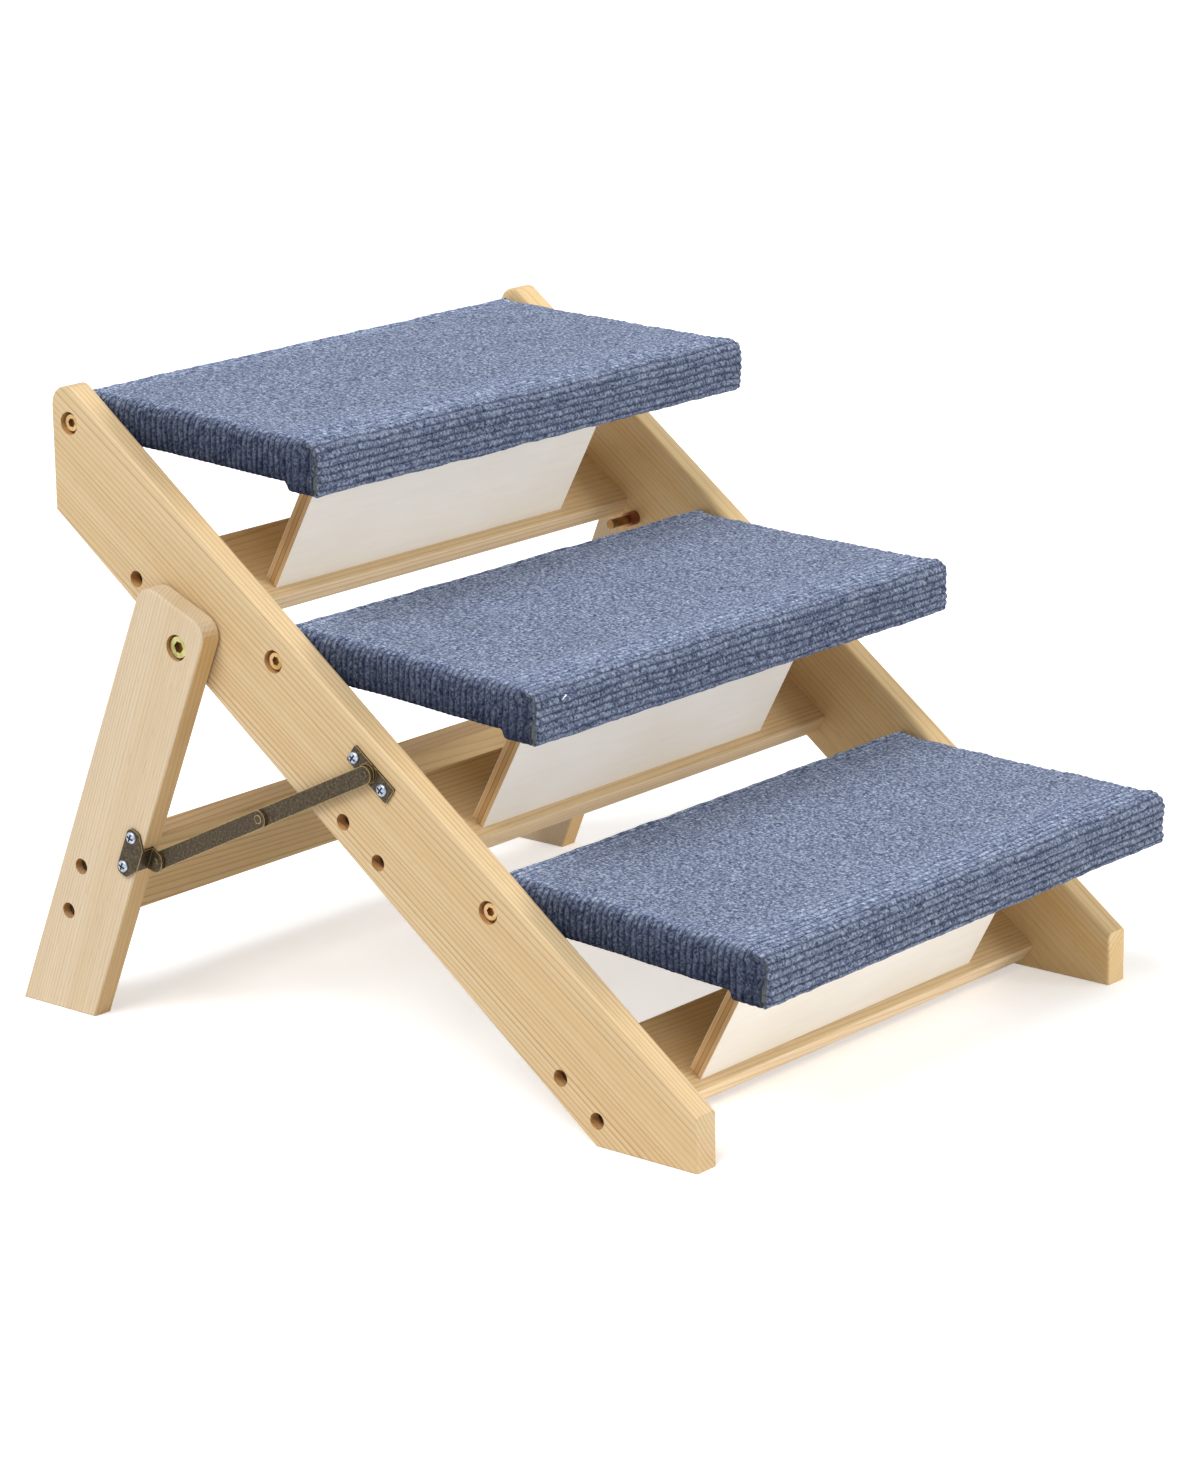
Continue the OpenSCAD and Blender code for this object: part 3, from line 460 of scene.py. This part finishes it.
# the screws deep in the slats' and crossbar's holes get the steel with painted shade
for node in ("slat_screws", "crossbar_screws"):
    dress(node, shadedSunkSteel)
smallHead = 0.00375
recessShades = {  # painted shade in the drive recesses: how deep it starts, how far from the axis it reaches, its tint
    "screws": (0.0005, 0.0026, (0.13, 0.15, 0.2)),
    "tread_bolts": (0.0004, 0.0034, (0.45, 0.38, 0.3)),
    "leg_bolts": (0.0004, 0.0042, (0.55, 0.3, 0.24)),
}
for node, rising in (("rail_bracket_screws", True), ("leg_bracket_screws", False)):
    axes = pairAxes(node, smallHead, rising)
    dress(node, metalMaterial(node + "_steel", "steel", recessShades["screws"], reach(node), axes))
for node, name, kind, axes in (("tread_bolts", "yellow_zinc", "zinc", treadAxes),
                               ("leg_bolts", "green_yellow_zinc", "greenZinc", legAxis)):
    dress(node, metalMaterial(name, kind, recessShades[node], reach(node), axes))
dress("leg_bolt_nuts", metalMaterial("nut_zinc", "nutZinc"))
print("metal dressed")


# Carpet: one cross-shaped cut, wrapped round the board with its ribs across the stairs

carpet = {
    "front": 0.1882, "rear": 0.012,        # reach before and behind the bolt
    "top": 0.0154, "bottom": -0.0174,      # heights over the bolt
    "half": 0.1935,                        # half width over the side flaps
    "thick": 0.0054,
    "boardUnder": -0.012,
    "nose": 0.0092, "fold": 0.0045,        # radii of the folds
    # below, From says how far ahead of the bolt a change starts, and Over along what length it comes in
    "sideRoll": (0.0022, 0.0082),          # over the cut edges of the front, and over the side flaps
    "rollOver": 0.012,
    "flare": 0.0042,                       # the front stands wider than the part between the rails
    "flareFrom": 0.055, "flareOver": 0.1,
    "tuckIn": 0.0062, "tuckInOver": 0.005,                # the flaps under the board are narrower by this
    "slit": 0.0013, "slitOver": 0.004,     # the front's ends lie this much inside the side flaps
    "dip": 0.0052,                         # the side flaps reach down over the front flap's ends
    "dipFrom": 0.1595, "dipOver": 0.0035,
    "forward": (0.0030, 0.0030),           # of the side flaps' ends, and more of it near the top
    "forwardOver": 0.014,
    "frontFlap": 0.027, "rearFlap": 0.024,                # folded under the board
    "rib": 0.0045, "ribDeep": 0.0012,      # pitch and depth of the ribs
    "ribFull": 0.6,                        # below 1 the ribs are rounder and the grooves sharper
    "noseStretch": 0.0022,                 # the ribs open by this much over the nose
    "nub": 0.0028, "tuft": 0.0023,         # length of a loop along its rib, and of a worn tuft on the top
    "worn": 0.042, "wornSide": 0.016,      # the ribs fade over this much, from the nose and the sides
    "wornRear": 0.02, "wornKeeps": 0.15,   # and from the rear; this share of their depth stays
    "wander": ((0.2, 0.034), (0.1, 0.008)),               # of the rows, in ribs, over that length
    "uneven": ((0.0003, 0.0044), (0.00025, 0.012), (0.0004, 0.04)),  # of the pile, over that length
    "tuck": 0.0034, "tuckOver": 0.005,     # the pile turns in at the side flaps' cut edges
    "stepAlong": 0.00072, "stepAcross": 0.002,
    "light": rgb(222, 236, 255), "middle": rgb(152, 168, 205), "dark": rgb(56, 66, 98),
    # painted shade on the side flaps, where the pile and ribs shade themselves, and on the front face
    "flankShade": (0.135, 0.135, 0.155), "frontShade": (0.53, 0.53, 0.54),
    "backing": rgb(92, 94, 84),
    "fibre": 1500, "fleck": 620,           # noise scales of the yarn's fibres and of its light and dark flecks
    "pileDepth": 0.0012,                   # of the bump
}


# random heights from -1 to 1 on a lattice of that cell, blended in between by 3f^2 - 2f^3
def softNoise(u, v, cell, seed):
    table = np.random.default_rng(seed).random((256, 256)) * 2 - 1
    a, b = u / cell, v / cell
    i, j = np.floor(a).astype(int), np.floor(b).astype(int)
    f, g = a - i, b - j
    f, g = f * f * (3 - 2 * f), g * g * (3 - 2 * g)
    near = table[i % 256, j % 256] * (1 - g) + table[i % 256, (j + 1) % 256] * g
    far = table[(i + 1) % 256, j % 256] * (1 - g) + table[(i + 1) % 256, (j + 1) % 256] * g
    return near * (1 - f) + far * f


def ease(value):  # 0 below 0, 1 above 1, and 3x^2 - 2x^3 between
    value = np.clip(value, 0, 1)
    return value * value * (3 - 2 * value)


# knots (length, heading) of the outline, from the end of the front flap to the end of the rear flap:
# the heading stays on a run and turns 90 degrees over radius * pi / 2 at a fold
def wrapKnots(cut):
    tall, deep = cut["top"] - cut["bottom"], cut["front"] + cut["rear"]
    fold, nose = cut["fold"], cut["nose"]
    runs = [cut["frontFlap"] - fold, tall - fold - nose, deep - nose - fold,
            tall - 2 * fold, cut["rearFlap"] - fold]
    arcs = [fold, nose, fold, fold]
    lengths, headings, heading = [0.0], [180.0], 180.0
    for k, run in enumerate(runs):
        lengths.append(lengths[-1] + run)
        headings.append(heading)
        if k < len(arcs):
            heading -= 90
            lengths.append(lengths[-1] + arcs[k] * math.pi / 2)
            headings.append(heading)
    return np.array(lengths), np.radians(headings)


def wrapRows(cut, lengths):  # fine rows where the ribs show, wider ones behind and below
    step = cut["stepAlong"]
    gaps = [2.6, 0.85, 0.85, 0.85, 1.0, 2.2, 2.2, 2.2, 2.8]
    parts = [np.linspace(a, b, max(2, round((b - a) / (gap * step))), endpoint=False)
             for a, b, gap in zip(lengths[:-1], lengths[1:], gaps)]
    return np.append(np.concatenate(parts), lengths[-1])


# P(s, t) = B(s) - d n(s) + x X + h N. B is the outline with heading a(s), and its outward normal is
# n = (-sin a, cos a). x and d follow a quarter turn of radius R(s) over each side edge, then hang straight
# down the board's end. h = -deep (1 - 0.85 worn) (1 - |cos(pi row)|^0.6) + soft noise, along
# N = cos(turn) n + sin(turn) X, where row is s / rib, opened over the nose and shifted by soft noise.
def carpetShape(tier, cut):
    lengths, headings = wrapKnots(cut)
    noseEnd, topEnd = lengths[4], lengths[5]
    fine = np.linspace(0, lengths[-1], 24001)
    angle = np.interp(fine, lengths, headings)
    angle = (angle[1:] + angle[:-1]) / 2
    pathY = np.concatenate([[0], np.cumsum(np.cos(angle)) * fine[1]]) + cut["frontFlap"] - cut["front"]
    pathZ = np.concatenate([[0], np.cumsum(np.sin(angle)) * fine[1]]) + cut["bottom"]
    rows = wrapRows(cut, lengths)
    nFlat, nRoll, nHang = round(2 * cut["half"] / cut["stepAcross"]), 6, 18
    roll, hang = np.linspace(0, 1, nRoll + 1)[1:], np.linspace(0, 1, nHang + 1)[1:]
    right = np.concatenate([roll, np.ones(nHang)])
    rightHang = np.concatenate([np.zeros(nRoll), hang])
    flatShare = np.concatenate([-np.ones(nRoll + nHang), np.linspace(-1, 1, nFlat), np.ones(nRoll + nHang)])
    rollShare = np.concatenate([right[::-1], np.zeros(nFlat), right])
    hangShare = np.concatenate([rightHang[::-1], np.zeros(nFlat), rightHang])
    s = rows[:, None] * np.ones_like(flatShare)
    heading = np.interp(s, lengths, headings)
    ny, nz = -np.sin(heading), np.cos(heading)
    baseY, baseZ = np.interp(s, fine, pathY), np.interp(s, fine, pathZ)
    ahead = -baseY
    onTop = ease((s - noseEnd) / cut["rollOver"]) * ease((topEnd - s) / cut["rollOver"])
    radius = cut["sideRoll"][0] + (cut["sideRoll"][1] - cut["sideRoll"][0]) * onTop
    flare = cut["flare"] * ease((ahead - cut["flareFrom"]) / cut["flareOver"])
    under = ease((lengths[1] - s) / cut["tuckInOver"]) + ease((s - lengths[8]) / cut["tuckInOver"])
    half = cut["half"] + flare - cut["tuckIn"] * under - cut["slit"] * ease((noseEnd - s) / cut["slitOver"])
    dip = cut["dip"] * ease((ahead - cut["dipFrom"]) / cut["dipOver"])
    drop = cut["top"] - cut["boardUnder"] - radius + dip
    over = rollShare * math.pi / 2 * np.ones_like(s)
    fall = hangShare * drop
    side = np.sign(flatShare)
    x = flatShare * (half - radius) + side * radius * np.sin(over)
    d = radius * (1 - np.cos(over)) + fall
    t = flatShare * (half - radius) + side * (radius * over + fall)
    worn = ease((s - noseEnd) / cut["worn"]) * ease((topEnd - s) / cut["wornRear"])
    worn *= ease((half - np.abs(x)) / cut["wornSide"]) * (fall == 0)
    seed = 11 * (tiers.index(tier) + 1)
    opened = cut["noseStretch"] * ease((s - lengths[3] + 0.002) / (noseEnd - lengths[3] + 0.004))
    row = (s - opened) / cut["rib"]
    (slow, slowCell), (quick, quickCell) = cut["wander"]
    row += slow * softNoise(t, s, slowCell, seed) + quick * softNoise(t, s, quickCell, seed + 1)
    rib = np.abs(np.cos(np.pi * row)) ** cut["ribFull"]
    height = -cut["ribDeep"] * (1 - (1 - cut["wornKeeps"]) * worn) * (1 - rib)
    (small, smallCell), (mid, midCell), (wide, wideCell) = cut["uneven"]
    height += (small + small * np.sin(2 * over)) * softNoise(s, t, smallCell, seed + 2)
    height += mid * softNoise(s, t, midCell, seed + 3)
    height += wide * softNoise(s, t, wideCell, seed + 4) * (1 - 0.6 * worn) - wide / 2
    brim = np.clip((fall - drop + cut["tuckOver"]) / cut["tuckOver"], 0, 1) * (fall > 0)
    tuck = cut["tuck"] * (1 - np.sqrt(1 - np.minimum(brim, 0.999) ** 2))
    upper = 1 - ease((fall / drop - 0.4 - 0.1 * softNoise(fall, s, 0.004, seed + 5)) / 0.2)
    forward = (cut["forward"][0] + cut["forward"][1] * upper) * ease(over / 1.5) * ease(fall / 0.002)
    forward *= 1 - ease((s - noseEnd) / cut["forwardOver"])
    outer = np.stack([x + side * (height * np.sin(over) - tuck),
                      baseY + ny * (height * np.cos(over) - d) - forward,
                      baseZ + nz * (height * np.cos(over) - d)], axis=-1)
    edge = cut["half"] - cut["thick"] + 0.7 * flare
    deep = np.where(fall > 0, d, cut["thick"])
    inner = np.stack([np.where(fall > 0, side * edge, x),
                      baseY - deep * ny - forward, baseZ - deep * nz], axis=-1)
    flapRows = (rows >= noseEnd - 1e-9) & (rows <= topEnd + 1e-9)
    left, right = nHang, len(flatShare) - 1 - nHang
    for column in (left, right):  # there the lining follows the board's upper edge
        inner[flapRows, column, 0] = (side * edge)[flapRows, column]
    flank = np.sin(over) * ease((s - noseEnd + 0.001) / 0.002) * ease((topEnd - s + 0.001) / 0.002)
    flank *= 0.86 + 0.14 * ease(fall / drop)
    front = ease((noseEnd + 0.007 - s) / 0.018)
    fields = {"row": row, "worn": worn, "flank": flank, "front": front}
    return outer, inner, s, t, fields, flapRows, left, right


# outer quads, a rim round the cloth's edge, and a lining of one wide face a row that lies on the board
def carpetFaces(flapRows, left, right, nColumns):
    nRows = len(flapRows)
    first, last = np.nonzero(flapRows)[0][[0, -1]]
    column = np.arange(nColumns)
    strip = (column >= left) & (column <= right)
    keep = flapRows[:, None] | strip[None, :]
    lined = np.zeros_like(keep)
    lined[:, [left, right]] = True
    lined[flapRows, 0] = lined[flapRows, -1] = True
    lined[[0, -1], left:right + 1] = True
    lined[[first, last], :left + 1] = lined[[first, last], right:] = True
    number = np.where(keep, np.cumsum(keep).reshape(keep.shape) - 1, -1)
    below = np.where(lined, keep.sum() + np.cumsum(lined).reshape(keep.shape) - 1, -1)
    whole = (flapRows[:-1] & flapRows[1:])[:, None] | (strip[:-1] & strip[1:])[None, :]
    quads = np.stack([number[:-1, :-1], number[:-1, 1:], number[1:, 1:], number[1:, :-1]], axis=-1)[whole]
    faces = quads.tolist()
    nOuter = len(faces)

    def rim(rowPicks, columnPicks, turnedRound):
        out, inn = number[rowPicks, columnPicks], below[rowPicks, columnPicks]
        ring = np.stack([out[:-1], out[1:], inn[1:], inn[:-1]], axis=-1)
        return (ring[:, ::-1] if turnedRound else ring).tolist()

    def lining(rowPicks, low, high):
        for k in rowPicks[:-1]:
            start, stop = below[k, low:high + 1], below[k + 1, low:high + 1]
            faces.append([*stop[stop >= 0].tolist(), *start[start >= 0][::-1].tolist()])

    before, flap, behind = np.arange(first + 1), np.arange(first, last + 1), np.arange(last, nRows)
    faces += rim(0, column[left:right + 1], True) + rim(nRows - 1, column[left:right + 1], False)
    flapSides = ((left, 0, column[:left + 1], False), (right, nColumns - 1, column[right:], True))
    for edgeColumn, end, flaps, turnedRound in flapSides:
        faces += rim(before, edgeColumn, turnedRound) + rim(behind, edgeColumn, turnedRound)
        faces += rim(flap, end, turnedRound) + rim(first, flaps, True) + rim(last, flaps, False)
        lining(flap, flaps[0], flaps[-1])
    for rowPicks in (before, flap, behind):
        lining(rowPicks, left, right)
    return faces, nOuter, keep, lined


def voronoi(tree, vector, scale, randomness):
    node = tree.nodes.new("ShaderNodeTexVoronoi")
    node.voronoi_dimensions = "2D"
    put(tree, node.inputs["Vector"], vector)
    node.inputs["Scale"].default_value = scale
    node.inputs["Randomness"].default_value = randomness
    return node.outputs["Distance"], node.outputs["Color"]


def attribute(tree, name):
    node = tree.nodes.new("ShaderNodeAttribute")
    node.attribute_name = name
    return node.outputs["Fac"]


# Loops stand in rows: cells of 1 rib x 1 nub, each row shifted at random. On the worn top they give way
# to tufts. Height falls with the distance from a cell's middle, and the hollows between loops get a painted
# shade.
def carpetMaterial():
    cut = carpet
    material, tree, shader = newMaterial("ribbed_carpet")
    cloth, spot = place(tree, "UV"), place(tree)
    q, worn, flank, front = (attribute(tree, name) for name in ("row", "worn", "flank", "front"))
    rib = calc(tree, "ABSOLUTE", calc(tree, "COSINE", calc(tree, "MULTIPLY", q, math.pi)))
    rib = calc(tree, "POWER", rib, span(tree, flank, 0.5, 0.75))
    row = calc(tree, "FLOOR", calc(tree, "ADD", q, 0.5))
    loop = calc(tree, "DIVIDE", along(tree, cloth, (0, 1, 0)), cut["nub"])
    loop = calc(tree, "ADD", loop, calc(tree, "MULTIPLY", dice(tree, row), 7.0))
    loop = calc(tree, "MULTIPLY_ADD", q, 0.7, loop)
    rowGap, rowTone = voronoi(tree, join(tree, q, loop, 0.0), 1.0, 0.7)
    tuftGap, tuftTone = voronoi(tree, cloth, 1 / cut["tuft"], 1.0)
    patch = noise(tree, spot, 26, 2.0, 0.5)
    knobs = span(tree, patch, 0.3, 0.7, 0.35, 0.65)
    knobs = calc(tree, "MULTIPLY", knobs, span(tree, flank, 1.0, 0.85))
    between = span(tree, rowGap, 0.0, 1.0, 0.15, 0.8)
    nubs = calc(tree, "SUBTRACT", 1.0, calc(tree, "MULTIPLY", between, knobs))
    uneven = span(tree, noise(tree, spot, 110, 2.0, 0.6), 0.0, 0.5, 0.45, 0.7)
    rowHeight = calc(tree, "MULTIPLY", calc(tree, "MAXIMUM", rib, uneven), nubs)
    tuftHeight = span(tree, tuftGap, 1.0, 0.0, 0.1, 0.72)
    share = calc(tree, "MULTIPLY", calc(tree, "POWER", worn, 1.6), 0.88)
    loops = calc(tree, "MULTIPLY_ADD", rowHeight, calc(tree, "SUBTRACT", 1.0, share),
                 calc(tree, "MULTIPLY", tuftHeight, share))
    fibre = noise(tree, spot, cut["fibre"], 3.0, 0.7)
    fleck = noise(tree, spot, cut["fleck"], 2.0, 0.6)
    tone = along(tree, blend(tree, share, rowTone, tuftTone), (0.1, 0, 0), -0.05)
    heather = calc(tree, "MULTIPLY_ADD", fibre, 0.4, tone)
    heather = calc(tree, "ADD", calc(tree, "MULTIPLY", fleck, 0.6), heather)
    calmer = calc(tree, "MULTIPLY", flank, 0.15)
    towardMiddle = calc(tree, "MULTIPLY", calc(tree, "SUBTRACT", 0.5, heather), calmer)
    heather = calc(tree, "ADD", heather, towardMiddle)
    colour = ramp(tree, heather, [(0.365, cut["dark"]), (0.5, cut["middle"]), (0.63, cut["light"])])
    # painted shade in the hollows between loops
    hollowShade = calc(tree, "MULTIPLY", span(tree, loops, 0.9, 0.0, 0.05, 0.85), span(tree, worn, 1.0, 0.72))
    hollowShade = calc(tree, "MULTIPLY", hollowShade, span(tree, flank, 1.0, 0.8))
    colour = blend(tree, hollowShade, colour, cut["dark"])
    colour = blend(tree, 1.0, colour, ramp(tree, patch, [(0.3, 0.88), (0.7, 1.0)]), "MULTIPLY")
    # painted shade on the side flaps and the front face
    colour = tinted(tree, colour, flank, cut["flankShade"])
    colour = tinted(tree, colour, front, cut["frontShade"])
    put(tree, shader.inputs["Base Color"], colour)
    shader.inputs["Roughness"].default_value = 0.95
    put(tree, shader.inputs["Specular IOR Level"], span(tree, flank, 0.1, 0.02))
    put(tree, shader.inputs["Sheen Weight"], span(tree, flank, 0.12, 0.01))
    shader.inputs["Sheen Roughness"].default_value = 0.5
    bump(tree, shader, calc(tree, "MULTIPLY_ADD", fibre, 0.35, loops), cut["pileDepth"])
    return material


def backingMaterial():
    material, tree, shader = newMaterial("carpet_backing")
    weave = noise(tree, place(tree), 900, 3.0, 0.7)
    colour = ramp(tree, weave, [(0.3, carpet["dark"]), (0.6, carpet["backing"])])
    put(tree, shader.inputs["Base Color"], colour)
    put(tree, shader.inputs["Roughness"], span(tree, weave, 0.85, 1.0))
    bump(tree, shader, weave, 0.0004)
    return material


def addMesh(name, points, faces, materials):
    mesh = bpy.data.meshes.new(name)
    mesh.from_pydata(points.tolist(), [], faces)
    for material in materials:
        mesh.materials.append(material)
    piece = bpy.data.objects.new(name, mesh)
    bpy.context.scene.collection.objects.link(piece)
    return piece


# a point (x, y, z) from the tread's bolt, tilted with the tread: y cos - z sin, y sin + z cos
def onTread(points, tier):
    lean = math.radians(stairs["treadTilt"])
    bolt = pivotOf[tier + "_tread_lift"]
    y, z = points[..., 1], points[..., 2]
    return np.stack([points[..., 0], bolt[1] + y * math.cos(lean) - z * math.sin(lean),
                     bolt[2] + y * math.sin(lean) + z * math.cos(lean)], axis=-1)


ribbed, backing = carpetMaterial(), backingMaterial()


def addCarpet(tier):
    outer, inner, s, t, fields, flapRows, left, right = carpetShape(tier, carpet)
    faces, nOuter, keep, lined = carpetFaces(flapRows, left, right, s.shape[1])
    points = onTread(np.concatenate([outer[keep], inner[lined]]), tier)
    piece = addMesh("carpet_" + tier, points, faces, (ribbed, backing))
    mesh = piece.data
    rest = np.arange(len(faces)) >= nOuter
    mesh.polygons.foreach_set("material_index", rest.astype(int))
    mesh.polygons.foreach_set("use_smooth", ~rest)
    corners = np.zeros(len(mesh.loops), int)
    mesh.loops.foreach_get("vertex_index", corners)
    cloth = np.stack([np.concatenate([grid[keep], grid[lined]]) for grid in (s, t)], axis=-1)
    mesh.uv_layers.new(name="cloth").data.foreach_set("uv", cloth[corners].astype(np.float32).ravel())
    for name, grid in fields.items():
        values = np.concatenate([grid[keep], grid[lined]]).astype(np.float32)
        mesh.attributes.new(name, "FLOAT", "POINT").data.foreach_set("value", values)
    mesh.update()
    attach(piece, tier + "_tread")
    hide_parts("tread_carpet_" + tier)
    rows = flapRows.nonzero()[0]


for tier in tiers:
    addCarpet(tier)


staple = {
    "x": -0.1753, "below": 0.0068,         # below the tread's top
    "crown": 0.0036, "leg": 0.0022, "wire": 0.0003, "proud": 0.0004,
    "slant": 36,                           # from the stairs' width, degrees
}


# a round wire along P(u) = centre + u crown (cos slant, sin slant) on the front, its ends bent into the pile
def addStaple(tier):
    u = np.concatenate([np.full(6, -0.5), np.linspace(-0.5, 0.5, 9)[1:-1], np.full(6, 0.5)])
    sink = np.concatenate([np.linspace(1, 0, 6), np.zeros(7), np.linspace(0, 1, 6)])
    slant, out = math.radians(staple["slant"]), np.array((0.0, -1.0, 0.0))
    centre = np.array((staple["x"], -carpet["front"] - staple["proud"], carpet["top"] - staple["below"]))
    run = np.array((math.cos(slant), 0.0, math.sin(slant)))
    path = centre + u[:, None] * staple["crown"] * run - sink[:, None] * staple["leg"] * out
    turn = np.linspace(0, 2 * math.pi, 9)[:-1]
    tangent = np.gradient(path, axis=0)
    tangent /= np.linalg.norm(tangent, axis=1)[:, None]
    sideways = np.cross(run, out)
    lift = np.cross(tangent, sideways)
    ring = np.cos(turn)[None, :, None] * sideways + np.sin(turn)[None, :, None] * lift[:, None, :]
    points = (path[:, None, :] + staple["wire"] * ring).reshape(-1, 3)
    grid = np.arange(len(path) * 8).reshape(-1, 8)
    beside = np.roll(grid, -1, 1)
    quads = np.stack([grid[:-1], beside[:-1], beside[1:], grid[1:]], axis=-1)
    faces = quads.reshape(-1, 4).tolist() + [grid[0][::-1].tolist(), grid[-1].tolist()]
    piece = addMesh("staple_" + tier, onTread(points, tier), faces, (steel,))
    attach(piece, tier + "_tread")


addStaple("middle")


# Camera, as the photograph was taken

view = {
    "from": (-2.05643, -1.71614, 0.91279),
    "yaw": -50.109, "pitch": 15.591, "roll": -0.794,   # degrees
    "lens": 137.05, "sensor": 36.0,                    # millimetres
}


# back = (sin yaw cos pitch, -cos yaw cos pitch, sin pitch), with the roll about it
def addCamera():
    yaw, pitch, roll = (math.radians(view[k]) for k in ("yaw", "pitch", "roll"))
    back = Vector((math.sin(yaw) * math.cos(pitch), -math.cos(yaw) * math.cos(pitch), math.sin(pitch)))
    right = Vector((math.cos(yaw), math.sin(yaw), 0))
    upward = back.cross(right)
    turnedRight = right * math.cos(roll) + upward * math.sin(roll)
    turnedUp = upward * math.cos(roll) - right * math.sin(roll)
    data = bpy.data.cameras.new("camera")
    data.lens, data.sensor_width, data.sensor_fit = view["lens"], view["sensor"], "HORIZONTAL"
    data.clip_start, data.clip_end = 0.05, 50
    camera = bpy.data.objects.new("camera", data)
    bpy.context.scene.collection.objects.link(camera)
    turn = Matrix((turnedRight, turnedUp, back)).transposed().to_4x4()
    camera.matrix_world = Matrix.Translation(view["from"]) @ turn
    bpy.context.scene.camera = camera


# Studio: a white floor that keeps the shadow, an even white surround and soft lamps

studio = {
    "surround": 0.47,       # strength of the even light
    "floor": rgb(250, 250, 250),
    "floorLift": 0.42,      # added for the camera alone, so that the floor reads white
    "floorSize": 14.0,
    "lamps": [              # direction to the lamp, strength, width in degrees
        ((-0.75, -0.1, 1.0), 2.05, 35),
        ((0.5, -0.85, 0.1), 1.7, 25),
    ],
}


def seenDirectly(tree):  # 1 for the camera's own rays, and for those in a mirror or through glass
    path = tree.nodes.new("ShaderNodeLightPath")
    glassy = calc(tree, "MAXIMUM", path.outputs["Is Glossy Ray"], path.outputs["Is Transmission Ray"])
    return calc(tree, "MAXIMUM", path.outputs["Is Camera Ray"], glassy)


def addStudio():
    world = bpy.data.worlds.new("surround")
    bpy.context.scene.world = world
    world.use_nodes = True
    tree = world.node_tree
    tree.nodes.clear()
    sky = tree.nodes.new("ShaderNodeBackground")
    sky.inputs["Color"].default_value = (1, 1, 1, 1)
    put(tree, sky.inputs["Strength"], span(tree, seenDirectly(tree), studio["surround"], 1.0))
    output = tree.nodes.new("ShaderNodeOutputWorld")
    tree.links.new(sky.outputs[0], output.inputs["Surface"])
    half = studio["floorSize"] / 2
    mesh = bpy.data.meshes.new("floor")
    corners = [(-half, -half, 0), (half, -half, 0), (half, half, 0), (-half, half, 0)]
    mesh.from_pydata(corners, [], [(0, 1, 2, 3)])
    floor = bpy.data.objects.new("floor", mesh)
    bpy.context.scene.collection.objects.link(floor)
    material, tree, shader = newMaterial("floor")
    shader.inputs["Base Color"].default_value = (*studio["floor"], 1)
    shader.inputs["Roughness"].default_value = 1.0
    shader.inputs["Specular IOR Level"].default_value = 0.0
    shader.inputs["Emission Color"].default_value = (1, 1, 1, 1)
    lift = calc(tree, "MULTIPLY", seenDirectly(tree), studio["floorLift"])
    put(tree, shader.inputs["Emission Strength"], lift)
    mesh.materials.append(material)
    for k, (toward, strength, width) in enumerate(studio["lamps"]):
        data = bpy.data.lights.new("lamp" + str(k), "SUN")
        data.energy, data.angle = strength, math.radians(width)
        lamp = bpy.data.objects.new("lamp" + str(k), data)
        lamp.matrix_world = Vector(toward).to_track_quat("Z", "Y").to_matrix().to_4x4()
        bpy.context.scene.collection.objects.link(lamp)
    bpy.context.scene.view_settings.view_transform = "Standard"


addCamera()
addStudio()
print("camera and studio in place")
